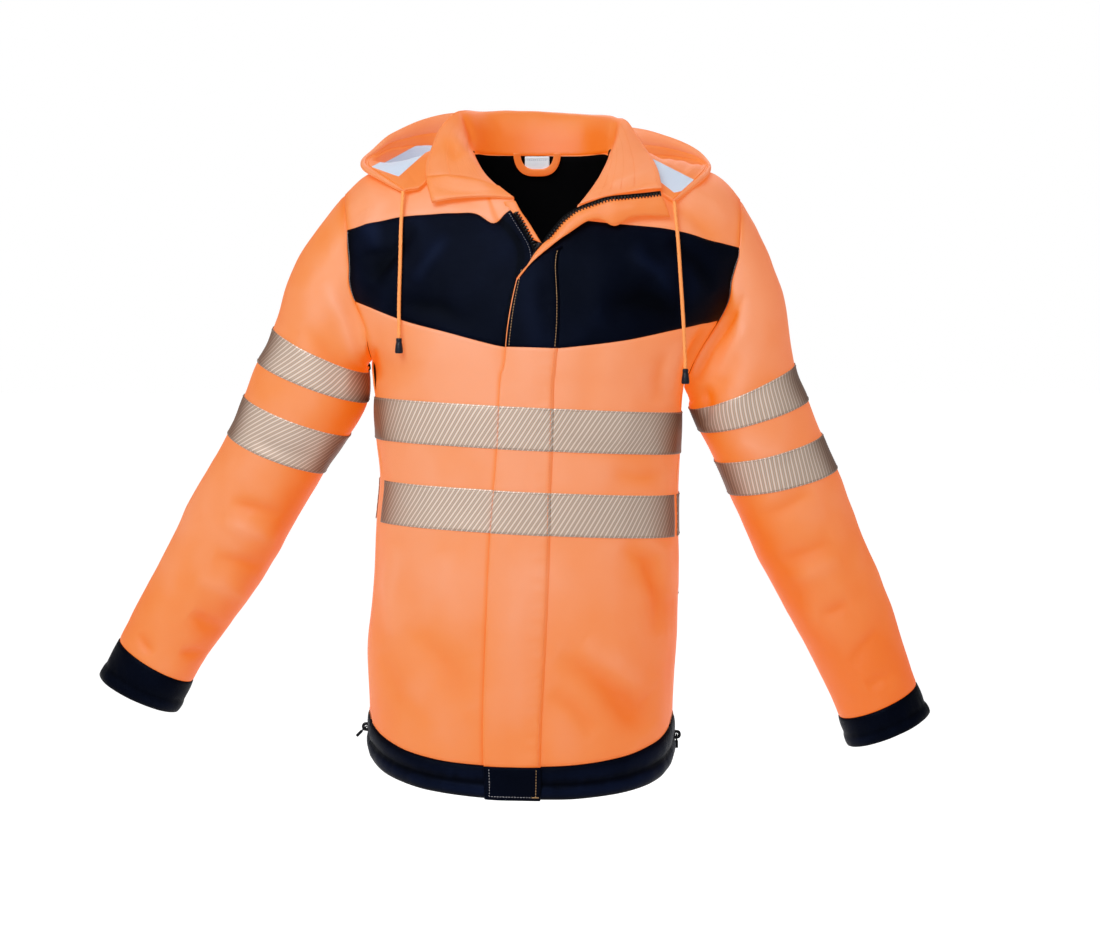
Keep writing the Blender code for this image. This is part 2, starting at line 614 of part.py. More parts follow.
def make_zip(grids, normals):
    """Both halves of the main zip, closed between the fronts and open above the slider."""
    closed_rows = row_span("hem_edge", "yoke_v")
    right, right_out = sub_grid(grids, normals, "right", closed_rows, -1)
    left, left_out = sub_grid(grids, normals, "left", closed_rows, 0)
    middle = (right + left) / 2
    middle_out = right_out + left_out
    middle_out /= np.linalg.norm(middle_out, axis=1, keepdims=True)
    for side, edge, out in (("right", right, right_out), ("left", left, left_out)):
        low, high = strip_points(OPEN_ZIP[side], OPEN_ZIP_HALF)
        pair = (edge, middle) if side == "right" else (middle, edge)
        pair_out = (out, middle_out) if side == "right" else (middle_out, out)
        points = np.stack([np.concatenate([pair[0], low]), np.concatenate([pair[1], high])], axis=1)
        upper_out = grid_normals(points)[-len(low):]
        points_out = np.concatenate([np.stack(pair_out, axis=1), upper_out])
        wall(f"zip_{side}", "black_zip", points, points_out, -CLOTH, 0)


def make_zip_guard():
    """Strip behind the open right half of the zip."""
    _, near = strip_points(OPEN_ZIP["right"], OPEN_ZIP_HALF)
    points = np.stack([near + np.array(GUARD_SET_BACK), np.array(GUARD_EDGE)], axis=1)
    wall("zip_guard", "orange_cloth", points, grid_normals(points), -THIN_CLOTH, 0)


def make_facing(grids, normals):
    """Facing of the storm flap: piping along its free edge, and its turned-back top beside the open zip."""
    points, out = flap_grid(grids, normals, ("hem_top", "yoke_low"))
    edge, edge_out = points[:, 0], out[:, 0]
    beside = toward(edge, grids["right"][row_span("hem_top", "yoke_low"), FLAP_COLUMN - 1], PIPING)
    strip = np.stack([beside, edge], axis=1)
    strip_out = np.stack([edge_out, edge_out], axis=1)
    low = 2 * LAYER_GAP + TAPE
    wall("flap_piping", "orange_cloth", strip, strip_out, low, low + LINING)
    _, near = strip_points(OPEN_ZIP["left"], OPEN_ZIP_HALF + SEAM_GAP)
    middle = (near + np.array(TURNBACK_EDGE)) / 2 + np.array(TURNBACK_SWELL)
    points = np.stack([near, middle, np.array(TURNBACK_EDGE)], axis=1)
    wall("flap_facing", "orange_cloth", points, grid_normals(points), -THIN_CLOTH, 0)


def armhole_loop(grids, side):
    """Armhole points from the shoulder tip down the front to the armpit and up the back."""
    rows = row_span("armpit", "top")
    front_column, back_column = (0, -1) if side == "right" else (-1, 0)
    front = grids[side][rows, front_column][::-1]
    back = grids["back"][rows, back_column]
    return np.concatenate([front, back[1:-1]])


def sleeve_ring(side, row, count):
    outer_x, outer_z, inner_x, inner_z, half_depth, centre_y = SLEEVE_ROWS[side][row]
    outer, inner = np.array((outer_x, centre_y, outer_z)), np.array((inner_x, centre_y, inner_z))
    centre, half = (outer + inner) / 2, (outer - inner) / 2
    forward = np.array((0, -math.cos(SLEEVE_PITCH), -math.sin(SLEEVE_PITCH))) * half_depth
    turns = [2 * math.pi * k / count for k in range(count)]
    return np.array([centre + half * math.cos(turn) + forward * math.sin(turn) for turn in turns])


def sleeve_grid(grids, side):
    """Rings from the cuff's end up to the armhole, and the number of rings above the upper tape."""
    loop = armhole_loop(grids, side)
    rings = {row: sleeve_ring(side, row, len(loop)) for row in SLEEVE_ROWS[side]}
    first = rings["upper_tape_top"]
    outward = np.array((-1.0 if side == "right" else 1.0, 0, 0))
    turns = np.array([2 * math.pi * k / len(loop) for k in range(len(loop))])
    swell = (CAP_LOW_SHARE + (1 - CAP_LOW_SHARE) * np.clip(np.cos(turns), 0, 1))[:, None]
    away = radial(loop, outward) * CAP_FLARE + outward
    cap = []
    for share in CAP_FRACTIONS[::-1]:
        bulge = CAP_BULGE * math.sin(math.pi * share)
        cap.append(loop + (first - loop) * share + away * swell * bulge)
    order = list(SLEEVE_ROWS[side])[::-1]
    return np.array([rings[row] for row in order] + cap + [loop]), order


def make_sleeve(grids, side):
    points, order = sleeve_grid(grids, side)
    if side == "left":
        points = points[:, ::-1]
    normals = grid_normals(points, closed=True)
    outward = np.array((-1.0 if side == "right" else 1.0, 0, 0))
    normals[-1] = radial(points[-1], outward)
    points[-1] += outward * SEAM_GAP
    cuff = order.index("cuff_top")
    wall(f"sleeve_{side}", "orange_cloth", points[cuff:], normals[cuff:], -CLOTH, 0, "b", closed=True)
    wall(f"cuff_{side}", "navy_cloth", points[:cuff + 1], normals[:cuff + 1], -CLOTH, PADDED_EDGE, "t", closed=True)
    for level in ("upper", "lower"):
        low = order.index(f"{level}_tape_bottom")
        rows = slice(low, low + 2)
        wall(f"sleeve_{side}_tape_{level}", "reflective_tape", points[rows], normals[rows],
             LAYER_GAP, LAYER_GAP + TAPE, "", closed=True)


def neck_loop(grids):
    """Neck seam from the right front round the back to the left front."""
    right = grids["right"][-1][SHOULDER_COLUMNS:][::-1]
    back = grids["back"][-1][::-1][SHOULDER_COLUMNS + 1:-SHOULDER_COLUMNS - 1]
    left = grids["left"][-1][:NECK_COLUMNS + 1][::-1]
    return np.concatenate([right, back, left])


def make_collar(grids):
    base = neck_loop(grids)
    edge = smooth_path(COLLAR_EDGE, len(base))
    along = COLLAR_END_ROLL + (1 - COLLAR_END_ROLL) * np.sin(np.pi * np.linspace(0, 1, len(base)))
    base = base + np.array((0, 0, 2 * SEAM_GAP))
    rows = []
    for share in np.linspace(0, 1, COLLAR_STEPS + 1):
        lift = COLLAR_ROLL * math.sin(math.pi * share)
        rows.append(base + (edge - base) * share + np.outer(along * lift, (0, 0, 1)))
    points = np.array(rows)
    normals = grid_normals(points)
    wall("collar", "orange_cloth", points, normals, 0, COLLAR_CLOTH, "")
    face = COLLAR_CLOTH + LAYER_GAP
    wall("collar_guard", "orange_cloth", points[:, :2], normals[:, :2], face, face + THIN_CLOTH, "b")


def clear_of_body(point):
    """Moves a point out of the shoulders or the back, whichever way is shorter."""
    x, y, z = point
    full, crest = (BACK_DEPTH, BACK_CREST) if y > 0 else (FRONT_DEPTH, FRONT_CREST)
    low = armpit_z(x)
    reach = body_depth(x, low, full, crest)
    if abs(y) >= reach + HOOD_CLEARANCE:
        return point
    share = min(abs(y) / max(reach, HOOD_CLEARANCE), 1)
    height = low + (ridge_z(x, crest) - low) * math.sqrt(1 - share ** 2)
    up = height + HOOD_CLEARANCE - z
    away = body_depth(x, z, full, crest) + HOOD_CLEARANCE - abs(y)
    if up <= 0 or away <= 0:
        return point
    if up < away:
        return (x, y, z + up)
    return (x, y + math.copysign(away, y), z)


def bend(start, control, end, share):
    return (1 - share) ** 2 * start + 2 * share * (1 - share) * control + share ** 2 * end


def make_hood():
    """Hood thrown back: from its opening edge down the outer wall, round the fold and up to the neck."""
    rim, fold, seam = (smooth_path(line, HOOD_COLUMNS) for line in (HOOD_RIM, HOOD_FOLD, HOOD_SEAM))
    swell = np.sin(np.pi * np.linspace(0, 1, HOOD_COLUMNS)) ** 2 * HOOD_BULGE
    outward = fold - seam
    outward[:, 2] = 0
    outward /= np.maximum(np.linalg.norm(outward, axis=1, keepdims=True), 1e-6)
    shares = np.linspace(0, 1, HOOD_WALL_STEPS + 1)
    outer_control = (rim + fold) / 2 + outward * swell[:, None] + (fold - rim) * HOOD_SAG
    inner_control = (fold + seam) / 2 + (fold - seam) * np.array((0, 0, HOOD_TUCK))
    rows = [bend(rim, outer_control, fold, share) for share in shares]
    rows += [bend(fold, inner_control, seam, share) for share in shares[1:]]
    points = np.array([[clear_of_body(point) for point in row] for row in rows])
    normals = grid_normals(points)
    wall("hood_rim", "orange_cloth", points[:2], normals[:2], 0, THIN_CLOTH, "t")
    wall("hood_shell", "orange_cloth", points[1:], normals[1:], 0, THIN_CLOTH, "b")
    lined = slice(4, -4)
    wall("hood_lining", "pale_mesh", points[1:, lined], normals[1:, lined], -LAYER_GAP - LINING, -LAYER_GAP, "btse")


def make_vent_zips(grids, normals):
    low = PADDED_EDGE + LAYER_GAP
    for side, columns in VENT_COLUMNS.items():
        points, out = sub_grid(grids, normals, "back", row_span("hem_edge", "flank"), columns)
        wall(f"vent_zip_{side}", "black_zip", points, out, low, low + LINING, "")


def neck_inside(x, z):
    """Inner side of the lining at the back of the neck, between its two upper rows."""
    low = (armhole_edge("shoulder_mid", "right")[1] + armhole_edge("shoulder_mid", "left")[1]) / 2
    share = (z - low) / (NECK_BACK_Z - low)
    cloth = CLOTH + LAYER_GAP + LINING
    return (1 - share) * back_point(x, low)[1] + share * back_point(x, NECK_BACK_Z)[1] - cloth


def make_hang_loop():
    """Orange loop sewn in at the back of the neck, over the lining."""
    turns = np.radians(np.linspace(180, 360, 13))
    edges = []
    for inset in (0, LOOP_BAND):
        x = LOOP_CENTRE_X + (LOOP_HALF_WIDTH - inset) * np.cos(turns)
        z = LOOP_TOP_Z + (LOOP_DROP - inset) * np.sin(turns)
        edges.append([(a, neck_inside(a, b) - LOOP_STAND_OFF, b) for a, b in zip(x, z)])
    points = np.stack([np.array(edges[1]), np.array(edges[0])], axis=1)
    wall("hang_loop", "orange_cloth", points, np.broadcast_to((0.0, -1.0, 0.0), points.shape), 0, CLOTH, "")


def make_label():
    width, height = LABEL_SIZE
    xs = LOOP_CENTRE_X + np.linspace(width / 2, -width / 2, 4)
    zs = LABEL_TOP_Z + np.linspace(-height, 0, 3)
    points = np.array([[(x, neck_inside(x, z) - LABEL_STAND_OFF, z) for x in xs] for z in zs])
    facing = np.broadcast_to((0.0, -1.0, 0.0), points.shape)
    wall("label", "white_label", points[:, ::-1], facing, 0, LABEL_CLOTH, "")


def make_cord(side):
    """Braided cord that hangs from the hood, with a plastic end."""
    path = smooth_path(CORDS[side], 16)
    curve = bpy.data.curves.new(f"cord_{side}", "CURVE")
    curve.dimensions = "3D"
    curve.bevel_depth = CORD_DIAMETER / 2
    curve.bevel_resolution = 2
    curve.use_fill_caps = True
    spline = curve.splines.new("POLY")
    spline.points.add(len(path) - 1)
    for point, place in zip(spline.points, path):
        point.co = (*place, 1)
    add_object(f"cord_{side}", curve, "orange_cord")
    shape = bmesh.new()
    bmesh.ops.create_cone(shape, cap_ends=True, segments=12, radius1=CORD_END_RADIUS, radius2=CORD_END_NECK,
                          depth=CORD_END_LENGTH)
    data = bpy.data.meshes.new(f"cord_end_{side}")
    shape.to_mesh(data)
    shape.free()
    end = add_object(f"cord_end_{side}", data, "black_plastic")
    end.location = Vector(path[-1]) - Vector((0, 0, CORD_END_LENGTH / 2 + SEAM_GAP))


def box(name, size, centre):
    shape = bmesh.new()
    bmesh.ops.create_cube(shape, size=1)
    bmesh.ops.scale(shape, vec=size, verts=shape.verts)
    bmesh.ops.translate(shape, vec=centre, verts=shape.verts)
    data = bpy.data.meshes.new(name)
    shape.to_mesh(data)
    shape.free()
    return bpy.data.objects.new(name, data)


def combine(thing, other, operation):
    """Joins or cuts with a helper that the build leaves out."""
    CUTTERS.objects.link(other)
    other.hide_render = True
    other.display_type = "WIRE"
    other.matrix_world = thing.matrix_world.copy()
    other.parent = thing
    other.matrix_parent_inverse = thing.matrix_world.inverted()
    modifier = thing.modifiers.new(operation.lower(), "BOOLEAN")
    modifier.operation = operation
    modifier.object = other


def make_slider(name, place, out, down, turn):
    """Slider and its pull. Locally +Z points out of the cloth, -Y down the zip, and X is the pull's axis."""
    out, down = Vector(out).normalized(), Vector(down).normalized()
    side = out.cross(down).normalized()
    down = side.cross(out).normalized()
    axes = Matrix((side, -down, out)).transposed().to_4x4()
    axes.translation = Vector(place)
    slider = box(f"{name}_slider", (SLIDER_WIDTH, SLIDER_LENGTH, SLIDER_PLATE), (0, 0, SLIDER_PLATE / 2))
    slider.data.materials.append(material("dark_metal"))
    JACKET.objects.link(slider)
    slider.matrix_world = axes
    bridge_height = BRIDGE_TOP - SLIDER_PLATE / 2
    combine(slider, box(f"{name}_bridge", (BRIDGE_WIDTH, BRIDGE_LENGTH, bridge_height),
                        (0, 0, SLIDER_PLATE / 2 + bridge_height / 2)), "UNION")
    combine(slider, box(f"{name}_bridge_hole", (2 * BRIDGE_WIDTH, *BRIDGE_HOLE), (0, 0, PIVOT_HEIGHT)), "DIFFERENCE")
    length = PULL_LENGTH + PULL_BACK
    pull = box(f"{name}_pull", (PULL_WIDTH, length, PULL_THICK), (0, PULL_BACK - length / 2, 0))
    pull.data.materials.append(material("dark_metal"))
    JACKET.objects.link(pull)
    pull.matrix_world = axes @ Matrix.Translation((0, 0, PIVOT_HEIGHT)) @ Matrix.Rotation(math.radians(turn), 4, "X")
    window_width, window_length = PULL_WINDOW
    reach = window_length + CROSSBAR_RADIUS
    combine(pull, box(f"{name}_window", (window_width, reach, 2 * PULL_THICK),
                      (0, CROSSBAR_RADIUS - reach / 2, 0)), "DIFFERENCE")
    bar = bpy.data.objects.new(f"{name}_bar", bpy.data.meshes.new(f"{name}_bar"))
    shape = bmesh.new()
    bmesh.ops.create_cone(shape, cap_ends=True, segments=10, radius1=CROSSBAR_RADIUS, radius2=CROSSBAR_RADIUS,
                          depth=CROSSBAR_LENGTH, matrix=Matrix.Rotation(math.pi / 2, 4, "Y"))
    shape.to_mesh(bar.data)
    shape.free()
    combine(pull, bar, "UNION")


def make_sliders(grids, normals):
    row = ROW_NAMES.index("yoke_v")
    middle = (grids["right"][row, -1] + grids["left"][row, 0]) / 2
    out = normals["right"][row, -1]
    make_slider("main", middle + out * MAIN_SLIDER_LIFT, out, MAIN_ZIP_RUN, 0)
    row = ROW_NAMES.index("hem_ridge")
    height = PADDED_EDGE + 2 * LAYER_GAP + LINING
    for side, columns in VENT_COLUMNS.items():
        points, outs = sub_grid(grids, normals, "back", row, columns)
        place, out = points.mean(axis=0), outs.mean(axis=0)
        make_slider(f"vent_{side}", place + out * height, (out[0], out[1], 0), (0, 0, -1), VENT_PULL_TURNS[side])


start_clean()
JACKET = make_collection("hi_vis_work_jacket")
CUTTERS = make_collection("cutters")
BODY, BODY_OUT = build_body_grids()
make_body(BODY, BODY_OUT)
make_tapes(BODY, BODY_OUT)
make_flap(BODY, BODY_OUT)
make_zip(BODY, BODY_OUT)
make_zip_guard()
make_facing(BODY, BODY_OUT)
make_vent_zips(BODY, BODY_OUT)
make_sliders(BODY, BODY_OUT)
for arm in ("right", "left"):
    make_sleeve(BODY, arm)
    make_cord(arm)
make_collar(BODY)
make_hood()
make_hang_loop()
make_label()
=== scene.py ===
"""Hi-vis work jacket, filled out and hollow, with its hood thrown back and the collar open."""
import json
import math

import bpy
import numpy as np
from mathutils import Matrix, Vector, noise


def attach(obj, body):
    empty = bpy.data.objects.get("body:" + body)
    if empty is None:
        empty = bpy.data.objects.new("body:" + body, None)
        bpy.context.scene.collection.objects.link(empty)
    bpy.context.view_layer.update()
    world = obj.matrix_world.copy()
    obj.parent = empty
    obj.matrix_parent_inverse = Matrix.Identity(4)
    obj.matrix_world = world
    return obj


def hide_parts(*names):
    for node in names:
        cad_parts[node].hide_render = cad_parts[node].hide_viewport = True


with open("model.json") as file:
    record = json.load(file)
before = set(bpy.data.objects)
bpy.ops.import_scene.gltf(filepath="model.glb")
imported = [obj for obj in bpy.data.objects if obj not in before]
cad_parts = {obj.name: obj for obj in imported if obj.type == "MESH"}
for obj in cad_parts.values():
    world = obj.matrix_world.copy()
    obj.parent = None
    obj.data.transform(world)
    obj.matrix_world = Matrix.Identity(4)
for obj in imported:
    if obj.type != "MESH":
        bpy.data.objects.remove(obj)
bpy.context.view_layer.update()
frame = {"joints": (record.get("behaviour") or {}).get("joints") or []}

# Camera
# It stands level with the chest and far back, so that the sleeves show little perspective.
VIEW_DISTANCE = 3.2
VIEW_WIDTH = 1.342
VIEW_CENTRE = (0.011, -0.348)
LENS_HEIGHT = -0.16

camera_data = bpy.data.cameras.new("front_view")
camera_data.sensor_width = 36
camera_data.lens = camera_data.sensor_width * VIEW_DISTANCE / VIEW_WIDTH
camera_data.shift_y = (VIEW_CENTRE[1] - LENS_HEIGHT) / VIEW_WIDTH
camera = bpy.data.objects.new("front_view", camera_data)
camera.location = (VIEW_CENTRE[0], -VIEW_DISTANCE, LENS_HEIGHT)
camera.rotation_euler = (math.pi / 2, 0, 0)
bpy.context.scene.collection.objects.link(camera)
bpy.context.scene.camera = camera


# Hood cords
# Two limp braided cords hang out of the hood's tunnel, one at each end of the opening. Each ends in a
# moulded bell that is crimped on the cord.


def in_mm(*points):
    """Points given in millimetres, in metres."""
    return np.array(points) / 1000


CORD_PATHS = {
    "right": ((-0.164, -0.076, -0.012), (-0.1655, -0.09, -0.05), (-0.166, -0.104, -0.1),
              (-0.167, -0.108, -0.145), (-0.167, -0.109, -0.186)),
    "left": ((0.159, -0.0777, -0.024), (0.1625, -0.096, -0.07), (0.165, -0.106, -0.115),
             (0.168, -0.11, -0.165), (0.1705, -0.111, -0.222)),
}
CORD_DIAMETER = 0.0045
CORD_STRANDS = 4
CORD_TWIST = 0.0125
CORD_RELIEF = 0.00032
CORD_RING, CORD_STEP = 20, 0.0006
BELL_DROP = 0.0003
BELL_PROFILE = in_mm(
    (0, 2), (0, 3), (-1.2, 3.4), (-3.5, 3.5), (-4.5, 3.2), (-5.5, 3.6), (-11, 4.4), (-15, 4.8), (-17, 4.6),
    (-17.8, 3.8), (-18, 0),
)


def gone_along(path):
    """Distance gone along a path at each of its points."""
    return np.concatenate([[0], np.cumsum(np.linalg.norm(np.diff(path, axis=0), axis=1))])


def on_path(gone, values, at):
    """Values along a path at the wanted distances."""
    return np.stack([np.interp(at, gone, column) for column in values.T], axis=-1)


def smooth_path(points, count):
    """Evenly spaced points on a smooth curve through the given ones."""
    points = np.array(points, float)
    padded = np.vstack([2 * points[0] - points[1], points, 2 * points[-1] - points[-2]])
    dense = []
    for k in range(1, len(padded) - 2):
        a, b, c, d = padded[k - 1:k + 3]
        for t in np.linspace(0, 1, 12, endpoint=False):
            dense.append(0.5 * (2 * b + (c - a) * t + (2 * a - 5 * b + 4 * c - d) * t ** 2
                                + (3 * b - a - 3 * c + d) * t ** 3))
    dense = np.vstack([dense, points[-1]])
    gone = gone_along(dense)
    return on_path(gone, dense, np.linspace(0, gone[-1], count))


def new_material(name, colour, roughness, gloss=0.5):
    """Material with one shader, and its node tree."""
    made = bpy.data.materials.new(name)
    made.use_nodes = True
    shader = made.node_tree.nodes["Principled BSDF"]
    shader.inputs["Base Color"].default_value = (*colour, 1)
    shader.inputs["Roughness"].default_value = roughness
    shader.inputs["Specular IOR Level"].default_value = gloss
    return made, made.node_tree, shader


def node(tree, kind, inputs=None, **settings):
    """Shader node with its settings and the values or links of its sockets."""
    made = tree.nodes.new(kind)
    for key, value in settings.items():
        setattr(made, key, value)
    for key, value in (inputs or {}).items():
        if isinstance(value, bpy.types.NodeSocket):
            tree.links.new(value, made.inputs[key])
        else:
            made.inputs[key].default_value = value
    return made


def bump(tree, shader, height, strength, distance):
    """Relief from a height socket, laid over any relief that the shader has already."""
    made = node(tree, "ShaderNodeBump", {"Height": height, "Strength": strength, "Distance": distance})
    old = shader.inputs["Normal"].links
    if old:
        tree.links.new(old[0].from_socket, made.inputs["Normal"])
    tree.links.new(made.outputs["Normal"], shader.inputs["Normal"])


def speckle(tree, scale, detail, place=None):
    """Cloudy noise of a given scale, on a place socket or else on the mesh's own box."""
    made = node(tree, "ShaderNodeTexNoise", {"Scale": scale, "Detail": detail})
    if place is not None:
        tree.links.new(place, made.inputs["Vector"])
    return made.outputs["Fac"]


def combine(tree, operation, *terms):
    """Result of one arithmetic step on sockets and numbers."""
    return node(tree, "ShaderNodeMath", dict(enumerate(terms)), operation=operation).outputs["Value"]


def blend(tree, share, low, high, **settings):
    """Colour that goes from one colour or socket to another with a socket's value."""
    sockets = {"Factor": share, "A": low, "B": high}
    return node(tree, "ShaderNodeMix", sockets, data_type="RGBA", **settings).outputs["Result"]


def tone(tree, shader, share, low, high):
    """Base colour that goes from one tone to another with a socket's value."""
    tree.links.new(blend(tree, share, (*low, 1), (*high, 1)), shader.inputs["Base Color"])


def mesh_object(name, points, faces, materials, body="jacket"):
    """Smooth-shaded mesh that rides on a body."""
    data = bpy.data.meshes.new(name)
    data.from_pydata([tuple(p) for p in points], [], faces)
    for material in materials:
        data.materials.append(material)
    data.shade_smooth()
    made = bpy.data.objects.new(name, data)
    bpy.context.scene.collection.objects.link(made)
    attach(made, body)
    return made


def unit(vectors):
    """The same directions, each with a length of one."""
    return vectors / np.linalg.norm(vectors, axis=-1, keepdims=True)


def path_frames(path, facing):
    """Directions along, across and out of a path that faces a given way."""
    run = unit(np.gradient(path, axis=0))
    aside = unit(np.cross(run, facing))
    return run, aside, np.cross(aside, run)


def ring_faces(rings, around):
    """Quads between neighbouring rings of points."""
    faces = []
    for j in range(rings - 1):
        for i in range(around):
            k = (i + 1) % around
            faces.append((j * around + i, j * around + k, (j + 1) * around + k, (j + 1) * around + i))
    return faces


def braided_cord(name, path, material):
    """Tube along a path whose skin is raised in strands that cross both ways."""
    around, step = CORD_RING, CORD_STEP
    line = smooth_path(path, int(gone_along(path)[-1] / step))
    _, aside, across = path_frames(line, (0, 1, 0))
    turns = np.linspace(0, 2 * math.pi, around, endpoint=False)
    twist = np.arange(len(line))[:, None] * step / CORD_TWIST * 2 * math.pi
    one_way = np.sin(CORD_STRANDS * turns + twist * 2)
    other_way = np.sin(CORD_STRANDS * turns - twist * 2 + 1.2)
    radius = CORD_DIAMETER / 2 - CORD_RELIEF + CORD_RELIEF * np.maximum(one_way, other_way)
    circle = aside[:, None] * np.cos(turns)[:, None] + across[:, None] * np.sin(turns)[:, None]
    points = (line[:, None] + circle * radius[..., None]).reshape(-1, 3)
    faces = ring_faces(len(line), around)
    faces += [tuple(range(around))[::-1], tuple(range(len(points) - around, len(points)))]
    return mesh_object(name, points, faces, [material]), line


def lathe(name, profile, place, material, around=32):
    """Round solid about an upright line, from (height, radius) pairs."""
    turns = np.linspace(0, 2 * math.pi, around, endpoint=False)
    points = [(place[0] + radius * math.cos(t), place[1] + radius * math.sin(t), place[2] + height)
              for height, radius in profile for t in turns]
    faces = [face[::-1] for face in ring_faces(len(profile), around)]
    faces.append(tuple(range(around)))
    return mesh_object(name, points, faces, [material])


cord_cloth, tree, shader = new_material("braided_orange_cord", (1.0, 0.3, 0.08), 0.75)
fibres = speckle(tree, 900.0, 3.0, node(tree, "ShaderNodeTexCoord").outputs["Object"])
tone(tree, shader, fibres, (0.6, 0.2, 0.03), (0.7, 0.36, 0.14))
bump(tree, shader, fibres, 0.5, 0.0002)
# painted glow: a red-orange emission keeps the cord bright in shade
shader.inputs["Emission Color"].default_value = (1.0, 0.14, 0.0, 1)
shader.inputs["Emission Strength"].default_value = 0.3

bell_plastic, tree, shader = new_material("dark_moulded_bell", (0.006, 0.008, 0.016), 0.42, gloss=0.25)
bump(tree, shader, speckle(tree, 1400.0, 2.0), 0.15, 0.0001)

for side, path in CORD_PATHS.items():
    cord, line = braided_cord(f"hood_cord_{side}", path, cord_cloth)
    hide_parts(f"cord_{side}")
    bell = lathe(f"cord_bell_{side}", BELL_PROFILE, np.array(path[-1]) - (0, 0, BELL_DROP), bell_plastic)
    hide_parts(f"cord_end_{side}")
    shown = [tuple(map(float, p)) for p in smooth_path(path, 24)]


# Body cloth
# The shell is plain woven cloth in fluorescent orange. Its fronts, yokes, shoulders and back are sewn edge
# to edge, and all follow one form: closed rings up to the armpits and open rows above them. The creases are
# pressed in afterwards, so that whatever lies on a panel has the panel's creases too.
CLOTH = 0.002
CLOTH_STEP = 0.0036
RING_POWER = 2.35
FRONT_DEPTH, BACK_DEPTH = 0.135, 0.15
NECK_HALF_WIDTH, NECK_SIDE_Z, NECK_BACK_Z = 0.083, 0.038, 0.04
FRONT_CREST, BACK_CREST = 0.012, 0.034
ZIP_HALF = 0.007
SHOULDER_COLUMNS, NECK_COLUMNS, FLAP_COLUMN = 6, 4, 7
FRONT_COLUMNS = SHOULDER_COLUMNS + NECK_COLUMNS
BACK_COLUMNS = 2 * FRONT_COLUMNS
SHOULDER_MID_SHARE = 0.6

# side_z, front_drop, back_drop, slope, centre_x, half_width, front_depth, back_depth, seam_degrees
BODY_ROWS = {
    "hem_edge": (-0.687, 0.04, 0.014, -0.027, -0.024, 0.183, 0.124, 0.138, 76),
    "hem_ridge": (-0.663, 0.046, 0.016, -0.026, -0.024, 0.184, 0.126, 0.14, 76),
    "hem_top": (-0.637, 0.052, 0.018, -0.012, -0.024, 0.184, 0.127, 0.141, 76),
    "hip": (-0.57, 0.034, 0.012, -0.02, -0.024, 0.187, 0.13, 0.144, 76),
    "flank": (-0.49, 0.012, 0.004, -0.035, -0.018, 0.185, 0.132, 0.146, 76),
    "lower_tape_bottom": (-0.416, 0.0, 0.0, -0.05, -0.016, 0.184, 0.132, 0.147, 76),
    "lower_tape_top": (-0.366, 0.0, 0.0, -0.05, -0.014, 0.182, 0.133, 0.148, 76),
    "upper_tape_bottom": (-0.317, 0.0, 0.0, -0.05, -0.016, 0.185, 0.134, 0.149, 80),
    "upper_tape_top": (-0.267, 0.0, 0.0, -0.05, -0.015, 0.187, 0.135, 0.15, 84),
    "armpit": (-0.23, 0.0, 0.0, -0.084, -0.016, 0.19, 0.135, 0.15, 90),
}
# x of the storm flap's free edge, of the zip and of the flap's stitched edge
FLAP_LINES = {
    "hem_edge": (-0.065, -0.028, -0.001), "hem_ridge": (-0.065, -0.028, 0.0),
    "hem_top": (-0.066, -0.027, 0.0), "hip": (-0.066, -0.025, 0.003), "flank": (-0.062, -0.02, 0.008),
    "lower_tape_bottom": (-0.058, -0.017, 0.011), "lower_tape_top": (-0.054, -0.015, 0.012),
    "upper_tape_bottom": (-0.05, -0.014, 0.014), "upper_tape_top": (-0.048, -0.013, 0.015),
    "armpit": (-0.045, -0.012, 0.016), "scye": (-0.043, -0.011, 0.017), "chest": (-0.041, -0.01, 0.018),
    "yoke_bottom": (-0.04, -0.009, 0.02), "yoke_low": (-0.03, -0.005, 0.022),
    "yoke_v": (-0.024, -0.002, 0.024), "yoke_top": (-0.05, 0.001, 0.052),
}
UPPER_ROWS = {
    "scye": ((-0.207, -0.196), (-0.05, -0.222), (0.02, -0.226), (0.18, -0.227)),
    "chest": ((-0.21, -0.174), (-0.05, -0.21), (0.02, -0.213), (0.192, -0.202)),
    "yoke_bottom": ((-0.222, -0.143), (-0.165, -0.165), (-0.046, -0.196), (0.016, -0.198), (0.095, -0.19),
                    (0.214, -0.166)),
    "yoke_low": ((-0.229, -0.104), (-0.06, -0.13), (0.02, -0.13), (0.228, -0.122)),
    "yoke_v": ((-0.231, -0.078), (-0.02, -0.08), (0.02, -0.08), (0.235, -0.096)),
    "yoke_top": ((-0.232, -0.057), (-0.163, -0.041), (-0.082, -0.038), (-0.057, -0.047), (-0.034, -0.038),
                 (0.045, -0.046), (0.088, -0.051), (0.131, -0.054), (0.16, -0.058), (0.238, -0.078)),
}
UPPER_NAMES = (
    "armpit", "scye", "chest", "yoke_bottom", "yoke_low", "yoke_v", "yoke_top", "shoulder_mid", "top",
)
ROW_NAMES = tuple(BODY_ROWS)[:-1] + UPPER_NAMES
OPEN_EDGES = {"yoke_v": (-0.011, 0.007), "yoke_top": (-0.036, 0.038)}
SHOULDER_TIPS = {"right": (-0.239, -0.012), "left": (0.243, -0.018)}
NECK_SEAMS = {
    "right": ((-0.083, 0.038), (-0.078, 0.024), (-0.066, 0.006), (-0.05, -0.009), (-0.032, -0.022)),
    "left": ((0.085, 0.038), (0.081, 0.022), (0.071, 0.004), (0.059, -0.013), (0.046, -0.029)),
}
RIDGE = ((0.083, 0.038), (0.12, 0.033), (0.17, 0.024), (0.217, 0.01), (0.241, -0.014))
CHEST_HALF_WIDTH = ((-0.242, 0.19), (-0.215, 0.2), (-0.19, 0.212), (-0.15, 0.236), (-0.1, 0.262),
                    (-0.05, 0.28), (0.05, 0.286))
